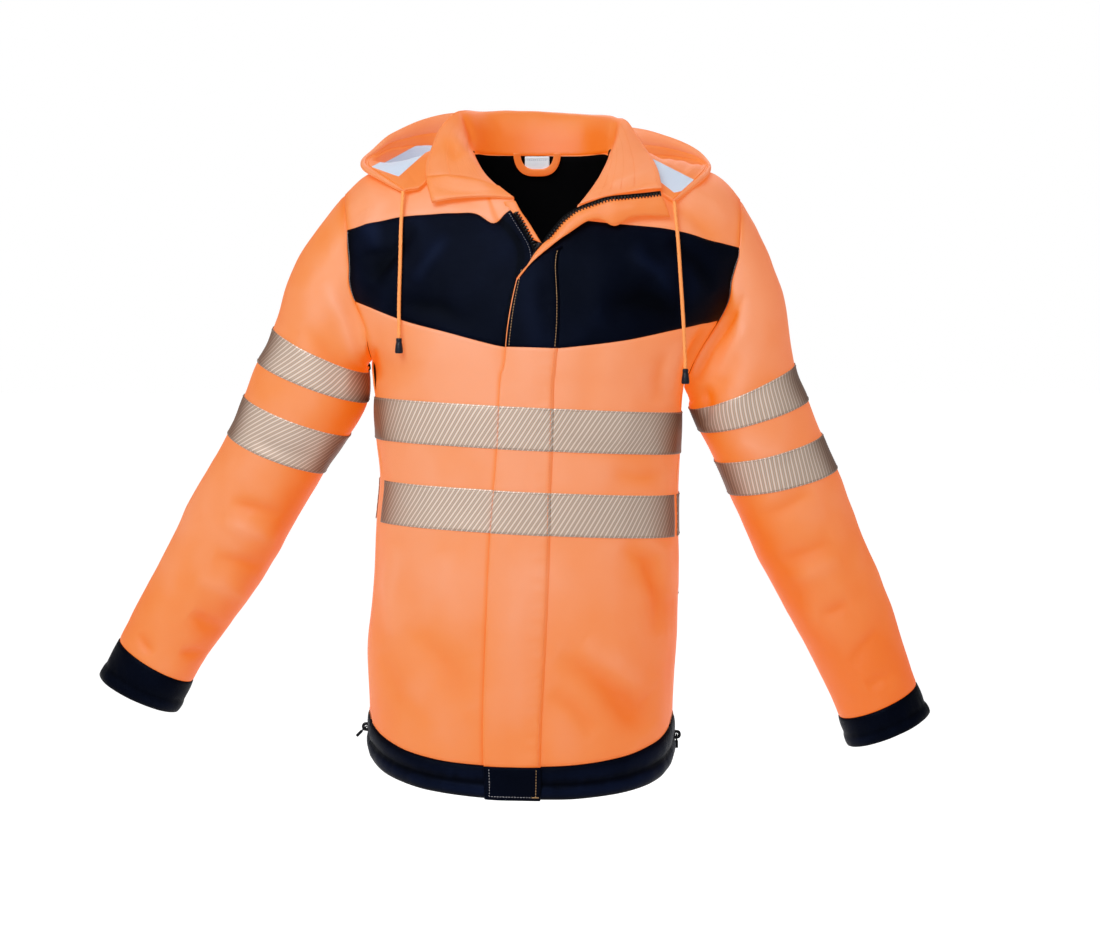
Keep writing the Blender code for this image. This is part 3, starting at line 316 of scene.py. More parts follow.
CENTRE_SHIFT = ((-0.245, -0.016), (-0.19, -0.009), (-0.12, -0.002), (0.0, 0.001))


def table(points, at):
    """Value at a place in a two-column table."""
    return float(np.interp(at, [p[0] for p in points], [p[1] for p in points]))


def ring_point(row, degrees):
    """Point of a closed body row; 0 degrees is the front, +90 the wearer's left, 180 the back."""
    side_z, front_drop, back_drop, slope, centre, half, front, back, _ = BODY_ROWS[row]
    turn = math.radians(degrees)
    across = math.copysign(abs(math.sin(turn)) ** (2 / RING_POWER), math.sin(turn))
    along = math.copysign(abs(math.cos(turn)) ** (2 / RING_POWER), math.cos(turn))
    depth, drop = (front, front_drop) if along >= 0 else (back, back_drop)
    return (centre + half * across, -depth * along, side_z + slope * half * across - drop * abs(along))


def ring_degrees(row, x):
    """Angle on the front of a body row that has this x."""
    _, _, _, _, centre, half, _, _, _ = BODY_ROWS[row]
    share = (x - centre) / half
    return math.degrees(math.asin(math.copysign(abs(share) ** (RING_POWER / 2), share)))


def armpit_z(x):
    """Height of the armpit row."""
    side_z, _, _, slope, centre, _, _, _, _ = BODY_ROWS["armpit"]
    return side_z + slope * (x - centre)


def ridge_z(x, crest):
    """Height of the shoulder line, raised across the neck by a crest."""
    away = abs(x)
    if away >= NECK_HALF_WIDTH:
        return table(RIDGE, away)
    return NECK_SIDE_Z + crest * (1 - (away / NECK_HALF_WIDTH) ** 2)


def body_depth(x, z, full_depth, crest):
    """Distance of the front or back from the shoulder plane, above the armpits."""
    low = armpit_z(x)
    rise = min(max((z - low) / (ridge_z(x, crest) - low), 0), 1)
    share = min(abs(x - table(CENTRE_SHIFT, z)) / table(CHEST_HALF_WIDTH, z), 1)
    return full_depth * (1 - share ** RING_POWER) ** (1 / RING_POWER) * math.sqrt(1 - rise ** 2)


def front_point(x, z):
    """Point of the front above the armpits."""
    return (x, -body_depth(x, z, FRONT_DEPTH, FRONT_CREST), z)


def back_point(x, z):
    """Point of the back above the armpits."""
    return (x, body_depth(x, z, BACK_DEPTH, BACK_CREST), z)


def spread(marks, counts):
    """Values that step evenly from mark to mark."""
    values = [marks[0]]
    for start, end, count in zip(marks, marks[1:], counts):
        values += [start + (end - start) * (k + 1) / count for k in range(count)]
    return values


def spaced_like(guide, marks, places):
    """Values that run from mark to mark at the given columns, spaced between them as the guide is."""
    guide = np.array(guide)
    values = np.empty(len(guide))
    for low, high, start, end in zip(places, places[1:], marks, marks[1:]):
        part = guide[low:high + 1]
        values[low:high + 1] = start + (end - start) * (part - part[0]) / (part[-1] - part[0])
    return values


def armhole_edge(row, side):
    """(x, z) where an upper row meets the armhole."""
    if row == "top":
        return SHOULDER_TIPS[side]
    if row == "shoulder_mid":
        low, tip = armhole_edge("yoke_top", side), SHOULDER_TIPS[side]
        return tuple(np.array(low) + SHOULDER_MID_SHARE * (np.array(tip) - low))
    return UPPER_ROWS[row][0 if side == "right" else -1]


def top_row(side):
    """Shoulder ridge from the armhole to the neck, then the neck seam down to the zip."""
    tip, neck = SHOULDER_TIPS[side], NECK_SEAMS[side]
    ridge_x = spread((tip[0], neck[0][0]), (SHOULDER_COLUMNS,))
    points = [(x, 0.0, ridge_z(x, 0)) for x in ridge_x]
    points[0] = (tip[0], 0.0, tip[1])
    return points + [front_point(x, z) for x, z in neck[1:]]


def front_row(row, side):
    """Points of one front from its outer edge to the zip."""
    sign = -1 if side == "right" else 1
    if row == "top":
        return top_row(side)
    if row == "shoulder_mid":
        points = []
        for below, above in zip(front_row("yoke_top", side), top_row(side)):
            x, _, z = np.array(below) + SHOULDER_MID_SHARE * (np.array(above) - below)
            points.append(front_point(x, z))
        return points
    if row in BODY_ROWS:
        flap_right, zip_line, flap_left = FLAP_LINES[row]
        flap = flap_right if side == "right" else flap_left
        inner = ring_degrees(row, zip_line + sign * ZIP_HALF)
        turns = spread((sign * BODY_ROWS[row][-1], ring_degrees(row, flap), inner),
                       (FLAP_COLUMN, FRONT_COLUMNS - FLAP_COLUMN))
        return [ring_point(row, turn) for turn in turns]
    flap_right, zip_line, flap_left = FLAP_LINES[row]
    inner_right, inner_left = OPEN_EDGES.get(row, (zip_line - ZIP_HALF, zip_line + ZIP_HALF))
    flap, inner = (flap_right, inner_right) if side == "right" else (flap_left, inner_left)
    guide = [point[0] for point in front_row("armpit", side)]
    across = spaced_like(guide, (armhole_edge(row, side)[0], flap, inner), (0, FLAP_COLUMN, FRONT_COLUMNS))
    return [front_point(x, table(UPPER_ROWS[row], x)) for x in across]


def back_row(row):
    """Points of the back from the right side to the left one."""
    if row == "top":
        right, left = top_row("right")[:SHOULDER_COLUMNS + 1], top_row("left")[:SHOULDER_COLUMNS + 1]
        turns = np.linspace(-90, 90, 2 * NECK_COLUMNS + 1)[1:-1]
        centre, half = (right[-1][0] + left[-1][0]) / 2, (left[-1][0] - right[-1][0]) / 2
        neck = [back_point(centre + half * math.sin(math.radians(turn)), NECK_BACK_Z) for turn in turns]
        return right + neck + left[::-1]
    if row in BODY_ROWS:
        seam = BODY_ROWS[row][-1]
        return [ring_point(row, turn) for turn in spread((-seam, seam - 360), (BACK_COLUMNS,))]
    (x0, z0), (x1, z1) = armhole_edge(row, "right"), armhole_edge(row, "left")
    shares = spaced_like([point[0] for point in back_row("armpit")], (0, 1), (0, BACK_COLUMNS))
    return [back_point(x0 + (x1 - x0) * s, z0 + (z1 - z0) * s) for s in shares]


def smooth_curve(knots, values, wanted):
    """Values of a smooth curve through the knots, at the wanted places."""
    count, steps = len(knots), np.diff(knots)
    system, right = np.eye(count), np.zeros((count,) + values.shape[1:])
    for k in range(1, count - 1):
        system[k, k - 1:k + 2] = steps[k - 1], 2 * (steps[k - 1] + steps[k]), steps[k]
        right[k] = 6 * ((values[k + 1] - values[k]) / steps[k] - (values[k] - values[k - 1]) / steps[k - 1])
    bends = np.linalg.solve(system, right.reshape(count, -1)).reshape(values.shape)
    low = np.clip(np.searchsorted(knots, wanted, "right") - 1, 0, count - 2)
    width = steps[low]
    far = ((wanted - knots[low]) / width).reshape((-1,) + (1,) * (values.ndim - 1))
    near, width = 1 - far, width.reshape(far.shape)
    curved = (near ** 3 - near) * bends[low] + (far ** 3 - far) * bends[low + 1]
    return near * values[low] + far * values[low + 1] + curved * width ** 2 / 6


def span_counts(points, axis):
    """How many cloth steps go between neighbouring rows or columns."""
    gaps = np.linalg.norm(np.diff(points, axis=axis), axis=2).mean(axis=1 - axis)
    return gaps, np.maximum(1, np.round(gaps / CLOTH_STEP).astype(int))


def refine(points, axis, gaps, counts):
    """Finer grid through the same points, and the places of the old ones in it."""
    knots = np.concatenate([[0], np.cumsum(gaps)])
    wanted = np.concatenate([np.linspace(knots[k], knots[k + 1], counts[k], endpoint=False)
                             for k in range(len(counts))] + [knots[-1:]])
    fine = smooth_curve(knots, np.moveaxis(points, axis, 0), wanted)
    return np.moveaxis(fine, 0, axis), np.concatenate([[0], np.cumsum(counts)])


def fine_grid(rough, row_spans=None):
    """Grid of cloth steps through a rough one, and the places of the old rows and columns in it."""
    tall, rows = refine(rough, 0, *(row_spans or span_counts(rough, 0)))
    fine, columns = refine(tall, 1, *span_counts(rough, 1))
    return fine, rows, columns


def grid_normals(points, closed=False):
    """Outward unit normals of a grid whose rows run up and whose columns run from the right to the left."""
    if closed:
        wide = np.concatenate([points[:, -1:], points, points[:, :1]], axis=1)
        across = wide[:, 2:] - wide[:, :-2]
    else:
        across = np.gradient(points, axis=1)
    normals = np.cross(across, np.gradient(points, axis=0))
    return normals / np.maximum(np.linalg.norm(normals, axis=2, keepdims=True), 1e-12)


ROUGH_BODY = {
    "right": np.array([front_row(row, "right") for row in ROW_NAMES]),
    "left": np.array([front_row(row, "left")[::-1] for row in ROW_NAMES]),
    "back": np.array([back_row(row)[::-1] for row in ROW_NAMES]),
}
ROUGH_BODY["flap"] = np.concatenate([ROUGH_BODY["right"][:, FLAP_COLUMN:],
                                     ROUGH_BODY["left"][:, :FRONT_COLUMNS - FLAP_COLUMN + 1]], axis=1)
ROW_GAPS, ROW_COUNTS = span_counts(ROUGH_BODY["right"], 0)
BODY, BODY_OUT, BODY_COLUMN = {}, {}, {}
for key, rough in ROUGH_BODY.items():
    BODY[key], places, BODY_COLUMN[key] = fine_grid(rough, (ROW_GAPS, ROW_COUNTS))
    BODY_OUT[key] = grid_normals(BODY[key])
BODY_ROW = dict(zip(ROW_NAMES, places))
# the right yoke's upper seam rises and then dips beside the lapel: place, reach and height of each bend
for x, reach, rise in ((-0.081, 0.014, 0.003), (-0.057, 0.011, -0.0065), (-0.036, 0.01, 0.004)):
    near_seam = np.exp(-((np.arange(len(BODY["right"])) - BODY_ROW["yoke_top"]) / 4) ** 2)[:, None]
    BODY["right"][..., 2] += rise * near_seam * np.exp(-((BODY["right"][..., 0] - x) / reach) ** 2)
LOW_ROWS = slice(0, BODY_ROW["armpit"] + 1)
for front, edge, back_edge in (("right", 0, -1), ("left", -1, 0)):
    shared = unit(BODY_OUT[front][LOW_ROWS, edge] + BODY_OUT["back"][LOW_ROWS, back_edge])
    BODY_OUT[front][LOW_ROWS, edge] = BODY_OUT["back"][LOW_ROWS, back_edge] = shared

# Creases of the body, in millimetres: a line of (x, z) points as seen from the front or the back, half its
# width, and a height that is below zero for a trough.
FRONT_CREASES = (
    (((-212, -172), (-205, -205), (-196, -240)), 10, -5),
    (((200, -170), (182, -205), (170, -245)), 10, -5),
    (((168, -190), (158, -225), (156, -270)), 12, 3),
    (((150, -200), (141, -235), (140, -265)), 10, -2.2),
    (((20, -300), (45, -315), (90, -322), (140, -318)), 16, -2.4),
    (((80, -345), (120, -352), (150, -350)), 12, -2.2),
    (((95, -430), (125, -450), (140, -490), (142, -540)), 14, -4),
    (((120, -420), (148, -440), (158, -500)), 13, 3),
    (((20, -555), (60, -580), (95, -615), (125, -655)), 22, -5),
    (((50, -545), (90, -570), (130, -610)), 22, 3.5),
    (((10, -600), (40, -620), (65, -650)), 16, -3),
    (((-170, -430), (-182, -480), (-180, -540)), 14, 3),
    (((-160, -520), (-120, -560), (-85, -620)), 30, -2.6),
    (((-190, -560), (-165, -610), (-120, -650)), 18, -2.2),
    (((-120, -440), (-100, -500), (-90, -560)), 35, 2.2),
    (((-200, -120), (-165, -75), (-150, -50)), 12, -3),
    (((-150, -120), (-125, -85), (-105, -60)), 13, 2.6),
    (((-175, -145), (-120, -150), (-80, -175)), 18, -2.2),
    (((205, -130), (185, -95), (150, -70)), 13, -2.8),
    (((175, -150), (120, -140), (70, -150)), 20, -2.2),
    (((105, -80), (140, -110), (160, -150)), 14, 2.4),
    (((-215, -35), (-200, -60), (-195, -85)), 16, 3),
    (((150, -20), (185, -45), (212, -75)), 15, -3),
    (((165, 0), (205, -20), (228, -50)), 15, 2.8),
)
BACK_CREASES = (
    (((-200, -60), (-140, -120), (-60, -150)), 20, -3.5),
    (((205, -70), (150, -125), (70, -155)), 20, -3.5),
    (((-190, -130), (-150, -190), (-130, -260)), 20, 3.5),
    (((185, -140), (150, -200), (125, -270)), 20, 3.5),
    (((-170, -200), (-158, -250), (-165, -300)), 14, -3.5),
    (((160, -210), (148, -260), (150, -310)), 14, -3.5),
    (((-150, -430), (-110, -500), (-90, -590)), 26, -4),
    (((-120, -420), (-60, -520), (-40, -610)), 30, 3.2),
    (((130, -440), (100, -520), (80, -600)), 26, -4),
    (((60, -430), (30, -520), (35, -600)), 30, 3),
    (((-20, -100), (-30, -200), (-20, -300)), 30, 2.5),
    (((10, -420), (-10, -480), (-5, -560)), 22, -2.8),
)
ARMHOLE_FADE = 0.028
ARMHOLE_COLUMNS = {"right": (0,), "left": (-1,), "back": (0, -1), "flap": ()}
UNEVEN = 0.0018
CREASE_DEPTH = 1.3
VENT_COLUMNS = {"left": (1, 2), "right": (-3, -2)}
VENT_RECESS, VENT_HALF_WIDTH = 0.0036, 0.0075


def crease_lift(points, creases):
    """How far the creases move each point out of the cloth."""
    place, lift = points[..., [0, 2]], np.zeros(points.shape[:-1])
    for line, width, height in creases:
        line, width, height = np.array(line) / 1000, width / 1000, height / 1000
        runs, passed = np.diff(line, axis=0), gone_along(line)
        nearest, along = np.full(lift.shape, 1.0), np.zeros(lift.shape)
        for start, run, length, before in zip(line, runs, np.linalg.norm(runs, axis=1), passed):
            share = np.clip((place - start) @ run / length ** 2, 0, 1)
            away = np.linalg.norm(place - start - share[..., None] * run, axis=-1)
            closer = away < nearest
            nearest = np.where(closer, away, nearest)
            along = np.where(closer, (before + share * length) / passed[-1], along)
        lift += height * np.sin(np.pi * along) ** 0.7 / (1 + (nearest / width) ** 2) ** 2
    return lift


def soft_waves(points, sizes, place):
    """Smooth unevenness between -1 and 1, with a wave size for each axis; the place picks which waves."""
    scaled = points.reshape(-1, 3) / np.array(sizes) + place
    return np.array([noise.noise(Vector(p)) for p in scaled]).reshape(points.shape[:-1])


def smooth_step(values):
    """Eased rise from 0 to 1."""
    values = np.clip(values, 0, 1)
    return values * values * (3 - 2 * values)


def away_from(points, line):
    """How far each point of a grid lies from the point of a line in its own row."""
    return np.linalg.norm(points - line[:, None], axis=2)


def pressed_in(points, out, front_creases, back_creases, turn):
    """Lift of the front's and the back's creases, which fade into each other at the sides."""
    front = smooth_step(0.5 - turn * out[..., 1])
    lift = crease_lift(points, front_creases) * front + crease_lift(points, back_creases) * (1 - front)
    return lift * CREASE_DEPTH


def unevenness(points, broad, fine, share):
    """Broad waves, and fine ones in a given share; each set is given by its sizes and its place."""
    return UNEVEN * (soft_waves(points, *broad) + share * soft_waves(points, *fine))


def body_lift(key):
    """Creases and unevenness of one body grid, fading out along the armholes, which the sleeves share."""
    points = BODY[key]
    rows = np.arange(len(points))[:, None]
    lift = pressed_in(points, BODY_OUT[key], FRONT_CREASES, BACK_CREASES, 1.5)
    lift += unevenness(points, ((0.055, 0.07, 0.11), 3.1), ((0.026, 0.03, 0.04), 7.7), 0.5)
    fade = np.ones(lift.shape)
    for edge in ARMHOLE_COLUMNS[key]:
        fade *= smooth_step(away_from(points, points[:, edge]) / ARMHOLE_FADE)
    lift *= 1 - smooth_step((rows - BODY_ROW["armpit"] + 12) / 12) * (1 - fade)
    if key == "back":
        below = smooth_step((BODY_ROW["flank"] + 2 - rows) / 5)
        for first, last in VENT_COLUMNS.values():
            middle = (points[:, BODY_COLUMN["back"][first]] + points[:, BODY_COLUMN["back"][last]]) / 2
            lift -= VENT_RECESS * np.exp(-(away_from(points, middle) / VENT_HALF_WIDTH) ** 4) * below
    return lift


def turned_away(out):
    """0 where the cloth faces the front or the back, 1 where it faces a side."""
    return smooth_step((0.65 - np.abs(out[..., 1])) / 0.55)


def painted_height_light(points, slope=0.013, middle_z=-0.66, top_z=-0.3):
    """Painted light: a tone that makes the cloth lighter high up and darker low down."""
    return slope * (np.minimum(points[..., 2], top_z) - middle_z)


# painted light and shade, in the same measure as the creases: painted shade at the sides and along the
# armhole seams, a painted shadow beside the storm flap's free edge, and painted light on the flap
SIDE_SHADE, SEAM_SHADE, FLAP_LIGHT, SHADOW_TONE = 0.0032, 0.0055, 0.0006, 0.0085
SEAM_WIDTH, SHADOW_WIDTH = 0.006, 0.0034
BODY_TONE = {}
for key, points in BODY.items():
    lift, out = body_lift(key), BODY_OUT[key]
    BODY[key] = points + out * lift[..., None]
    shade = lift + painted_height_light(points) - SIDE_SHADE * turned_away(out)
    upper = smooth_step((np.arange(len(points)) - BODY_ROW["armpit"] + 4) / 4)[:, None]
    for edge in ARMHOLE_COLUMNS[key]:
        shade -= SEAM_SHADE * np.exp(-(away_from(points, points[:, edge]) / SEAM_WIDTH) ** 2) * upper
    # painted shadow under the storm flap's free edge
    if key == "right":
        edge = points[:, BODY_COLUMN["right"][FLAP_COLUMN]]
        shade -= SHADOW_TONE * np.exp(-(away_from(points, edge) / SHADOW_WIDTH) ** 2)
    BODY_TONE[key] = shade + (FLAP_LIGHT if key == "flap" else 0)


def piece_edges(rows, columns, closed):
    """Boundary of a grid as runs of (row, column), anticlockwise as seen from outside."""
    if closed:
        return [[(0, i) for i in range(columns + 1)], [(rows - 1, i) for i in range(columns, -1, -1)]]
    return [[(0, i) for i in range(columns)] + [(j, columns - 1) for j in range(1, rows)]
            + [(rows - 1, i) for i in range(columns - 2, -1, -1)] + [(j, 0) for j in range(rows - 2, -1, -1)]]


def travel(points, axis):
    """Mean distance gone along a grid's rows or columns."""
    gaps = np.linalg.norm(np.diff(points, axis=axis), axis=2).mean(axis=1 - axis)
    return np.concatenate([[0], np.cumsum(gaps)])


def wrapped(grid, closed):
    """Grid whose first column stands again after its last one, where it is closed."""
    return np.concatenate([grid, grid[:, :1]], axis=1) if closed else grid


def corners(grid):
    """The four corners of each cell of a grid."""
    return np.stack([grid[:-1, :-1], grid[:-1, 1:], grid[1:, 1:], grid[1:, :-1]], axis=2)


EDGE_ROUNDING = 0.35
TRIM_WIDTH = 0.01


def cloth_piece(name, points, out, low, high, materials, closed=False, start=0.0, crease=None):
    """Sewn piece on a grid: its outer face, its inner face, and a rounded edge between them.

    Its UV map is in metres, across and up the piece.
    """
    rows, columns = points.shape[:2]
    count = rows * columns
    face, back = ((points + out * np.broadcast_to(level, (rows, columns))[..., None]).reshape(-1, 3)
                  for level in (high, low))
    at, around = wrapped(np.arange(count).reshape(rows, columns), closed), wrapped(points, closed)
    flat = np.stack(np.meshgrid(travel(around, 1) + start, travel(around, 0)), axis=-1)
    outer, outer_flat = corners(at).reshape(-1, 4), corners(flat).reshape(-1, 4, 2)
    faces = outer.tolist() + (outer[:, ::-1] + count).tolist()
    middles, middle_of, edge_flats = [], {}, []
    for path in piece_edges(rows, columns, closed):
        for j, i in path:
            corner = int(at[j, i])
            if corner in middle_of:
                continue
            beside = at[min(max(j, 1), rows - 2), i if closed else min(max(i, 1), columns - 2)]
            away = face[corner] - face[beside]
            away /= max(np.linalg.norm(away), 1e-9)
            thick = np.linalg.norm(face[corner] - back[corner])
            middle_of[corner] = 2 * count + len(middles)
            middles.append((face[corner] + back[corner]) / 2 + away * thick * EDGE_ROUNDING)
        for here, there in zip(path, path[1:]):
            a, b = int(at[here]), int(at[there])
            faces.append([b, a, middle_of[a], middle_of[b]])
            faces.append([middle_of[b], middle_of[a], a + count, b + count])
            edge_flats += [(flat[there], flat[here], flat[here], flat[there])] * 2
    every = np.concatenate([face, back, middles])
    made = mesh_object(name, every, faces, materials)
    data = made.data
    if len(materials) > 1:
        slots = np.zeros(len(faces), int)
        slots[len(outer):2 * len(outer)] = 1
        data.polygons.foreach_set("material_index", slots)
    flats = np.concatenate([outer_flat, outer_flat[:, ::-1], edge_flats])
    data.uv_layers.new(name="cloth").data.foreach_set("uv", flats.ravel())
    # painted light and shade, one value a point, which the materials turn into a lighter or darker tone
    depth = np.zeros(len(every))
    if crease is not None:
        depth[:2 * count] = np.tile(np.broadcast_to(crease, (rows, columns)).ravel(), 2)
    data.attributes.new("crease", "FLOAT", "POINT").data.foreach_set("value", depth)
    return made


def declare_cut(points, closed=False):
    """Works out the flat size and area of the cloth that shows in a piece but keeps them nowhere; a trim
    under 10 mm wide is skipped.
    """
    around = wrapped(points, closed)
    across, up = np.diff(around, axis=1), np.diff(around, axis=0)
    area = float(np.linalg.norm(np.cross(across[:-1], up[:, :-1]), axis=2).sum())
    width = float(np.linalg.norm(across, axis=2).sum(axis=1).max())
    length = float(np.linalg.norm(up, axis=2).sum(axis=0).max())
    if min(width, length) < TRIM_WIDTH:
        return
    flat = round(width, 3), round(length, 3)
    area = round(min(area, 0.999 * flat[0] * flat[1]), 5)


def sewn(stands_for, points, out, low, high, materials, name=None, held="hung", closed=False, **how):
    """Cloth piece in the place of a plain solid, and its cut; it has the solid's name unless one is given."""
    made = cloth_piece(name or f"{stands_for}_cloth", points, out, low, high, materials, closed=closed, **how)
    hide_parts(stands_for)
    declare_cut(points, closed)
    return made


def seam_dip(shape, edges, depth=0.0009):
    """Outer level of a piece that dips where it is turned under along its bottom (b) or top (t) edge."""
    level = np.zeros(shape)
    for edge, row in (("b", 0), ("t", -1)):
        if edge in edges:
            level[row] = -depth
    return level


def part(key, first, last, columns=slice(None)):
    """Points, normals and tone of one body grid between two named rows."""
    rows = slice(BODY_ROW[first], BODY_ROW[last] + 1)
    return BODY[key][rows, columns], BODY_OUT[key][rows, columns], BODY_TONE[key][rows, columns]


def weave(tree, shader, thread, strength):
    """Plain weave in relief, with threads of a given width."""
    flat = node(tree, "ShaderNodeUVMap", uv_map="cloth").outputs["UV"]
    sockets = {"Vector": flat, "Scale": math.pi / 10 / thread}
    threads = [node(tree, "ShaderNodeTexWave", sockets, bands_direction=way).outputs["Fac"] for way in "XY"]
    bump(tree, shader, combine(tree, "MULTIPLY", *threads), strength, thread)


def shell_cloth(name, trough, middle, crest, rough, gain):
    """Woven shell cloth with soft mottling, whose tone follows the painted shading: darker in the creases'
    troughs as painted shade, lighter on their crests as painted highlight, and lighter or darker wherever
    light or shade is painted in.
    """
    made, tree, shader = new_material(name, middle, rough)
    lift = node(tree, "ShaderNodeAttribute", attribute_name="crease").outputs["Fac"]
    position = node(tree, "ShaderNodeTexCoord").outputs["Object"]
    cloud = combine(tree, "ADD", speckle(tree, 9.0, 3.0, position), -0.5)
    deep = combine(tree, "MULTIPLY_ADD", lift, gain, 0.5)
    share = combine(tree, "MULTIPLY_ADD", cloud, 0.9, deep)
    ramp = node(tree, "ShaderNodeValToRGB", {"Fac": share})
    ramp.color_ramp.elements[0].color = (*trough, 1)
    ramp.color_ramp.elements[1].color = (*crest, 1)
    ramp.color_ramp.elements.new(0.5).color = (*middle, 1)
    tree.links.new(ramp.outputs["Color"], shader.inputs["Base Color"])
    weave(tree, shader, 0.0006, 0.25)
    bump(tree, shader, speckle(tree, 160.0, 2.0, position), 0.1, 0.0006)
    return made, tree, shader, share


def painted_glow(tree, shader, share):
    """Painted glow: red-orange emission that lifts the cloth out of shade, a deeper red where its tone is
    low, as painted shade in the troughs, under a cool gloss.
    """
    glow = blend(tree, share, DEEP_GLOW, BRIGHT_GLOW)
    tree.links.new(glow, shader.inputs["Emission Color"])
    shader.inputs["Emission Strength"].default_value = 0.66
    shader.inputs["Specular IOR Level"].default_value = 0.7
    shader.inputs["IOR"].default_value = 1.55
    shader.inputs["Specular Tint"].default_value = (0.5, 0.8, 1.0, 1)
    return glow


# painted shade and painted highlight: the orange in the creases' troughs, in between, and on their crests
ORANGE_TONES = ((0.22, 0.115, 0.001), (0.24, 0.155, 0.035), (0.26, 0.2, 0.115))
ORANGE_GAIN = 95.0
# painted glow: a deeper red for the troughs, which is painted shade, and a lighter orange for the crests
DEEP_GLOW, BRIGHT_GLOW = (1.0, 0.1, 0.0, 1), (1.0, 0.17, 0.02, 1)
orange_cloth, tree, shader, share = shell_cloth("orange_shell_cloth", *ORANGE_TONES, 0.5, ORANGE_GAIN)
painted_glow(tree, shader, share)
lining_cloth, tree, shader = new_material("black_lining", (0.0015, 0.0015, 0.002), 0.9, gloss=0.05)
weave(tree, shader, 0.0007, 0.3)
lined_orange, both_orange = [orange_cloth, lining_cloth], [orange_cloth, orange_cloth]


def orange_panel(stands_for, key, first, last, edges):
    """Lined panel of the orange cloth on a body grid, between two named rows."""
    points, out, shade = part(key, first, last)
    sewn(stands_for, points, out, -CLOTH, seam_dip(shade.shape, edges), lined_orange, crease=shade)


for side in ("right", "left"):
    orange_panel(f"front_{side}_panel", side, "hem_top", "yoke_bottom", "bt")
    orange_panel(f"shoulder_{side}", side, "yoke_top", "top", "b")
orange_panel("back_panel", "back", "hem_top", "top", "b")


# Upper lining
# Black lining hangs inside the back and shows through the open neck. It is cut to the back and sewn in at
# the neck.
LINING = 0.0012
LINING_GAP = 0.0004
points, out, _ = part("back", "armpit", "top", slice(6, -6))
sewn("upper_lining", points, out, -CLOTH - LINING_GAP - LINING, -CLOTH - LINING_GAP, [lining_cloth])


# Yokes
# Navy panels across both fronts, sewn between the orange panels and the shoulders, with a pale top stitch a
# few millimetres inside each armhole.
# painted shade and painted highlight: the navy in the creases' troughs, in between, and on their crests
NAVY_TONES = ((0.0003, 0.0004, 0.001), (0.001, 0.0017, 0.0056), (0.0034, 0.0062, 0.02))
NAVY_GAIN = 150.0
YOKE_RISE = 0.0005
navy_cloth, tree, shader, share = shell_cloth("navy_shell_cloth", *NAVY_TONES, 0.42, NAVY_GAIN)
shader.inputs["Specular IOR Level"].default_value = 0.05
shader.inputs["Specular Tint"].default_value = (0.45, 0.6, 1.0, 1)
lined_navy = [navy_cloth, lining_cloth]
for side in ("right", "left"):
    points, out, shade = part(side, "yoke_bottom", "yoke_top")
    # painted shade as on the orange panels, without the painted light that rises with height
    sewn(f"yoke_{side}", points, out, -CLOTH, YOKE_RISE + seam_dip(shade.shape, "bt"), lined_navy,
         crease=shade - painted_height_light(points))


# Hem band
# A navy band with a light padding is sewn round the hem and stitched along its middle, which leaves a
# casing below. The stitching draws it into small puckers.
HEM_ROLL = 0.0034
HEM_PUCKER = 0.0009
BAND_BASE, BAND_SHADE = 0.0006, 1.5


def band_roll(points, ridge, roll, pucker, place):
    """Outer level of a padded band that is held in by stitching along one of its rows."""
    rows = len(points)
    share = np.arange(rows) / (rows - 1)
    middle = ridge / (rows - 1)
    swell = np.where(share < middle, np.sin(np.pi * np.clip(share / middle, 0, 1)),
                     0.6 * np.sin(np.pi * np.clip((share - middle) / (1 - middle), 0, 1)))
    beside = np.exp(-(((share - middle) / 0.3) ** 2))[:, None]
    waves = soft_waves(points, (0.008, 0.008, 0.02), place) * beside
    return BAND_BASE + roll * np.abs(swell)[:, None] ** 0.7 + pucker * waves


ridge = BODY_ROW["hem_ridge"] - BODY_ROW["hem_edge"]
for key in ("right", "left", "back"):
    points, out, _ = part(key, "hem_edge", "hem_top")
    high = band_roll(points, ridge, HEM_ROLL, HEM_PUCKER, 5.3)
    # painted shade: the band is darker where its roll sinks
    sewn(f"hem_band_{key}", points, out, -CLOTH, high, lined_navy, crease=(high - 0.002) * BAND_SHADE)


# Top stitching
# Lockstitch rows follow most seams. Each stitch is a short rounded thread that lies in the cloth.
STITCH_PITCH = 0.0034
STITCH_LENGTH = 0.0025
STITCH_WIDTH = 0.00042


def on_grid(grid, rows, columns):
    """Values of a grid at places between its rows and columns."""
    rows, columns = np.broadcast_arrays(np.asarray(rows, float), np.asarray(columns, float))
    rows = np.clip(rows, 0, grid.shape[0] - 1)
    columns = np.clip(columns, 0, grid.shape[1] - 1)
    j, i = np.minimum(rows.astype(int), grid.shape[0] - 2), np.minimum(columns.astype(int), grid.shape[1] - 2)
    down, right = (rows - j)[..., None], (columns - i)[..., None]
    return ((grid[j, i] * (1 - right) + grid[j, i + 1] * right) * (1 - down)
            + (grid[j + 1, i] * (1 - right) + grid[j + 1, i + 1] * right) * down)


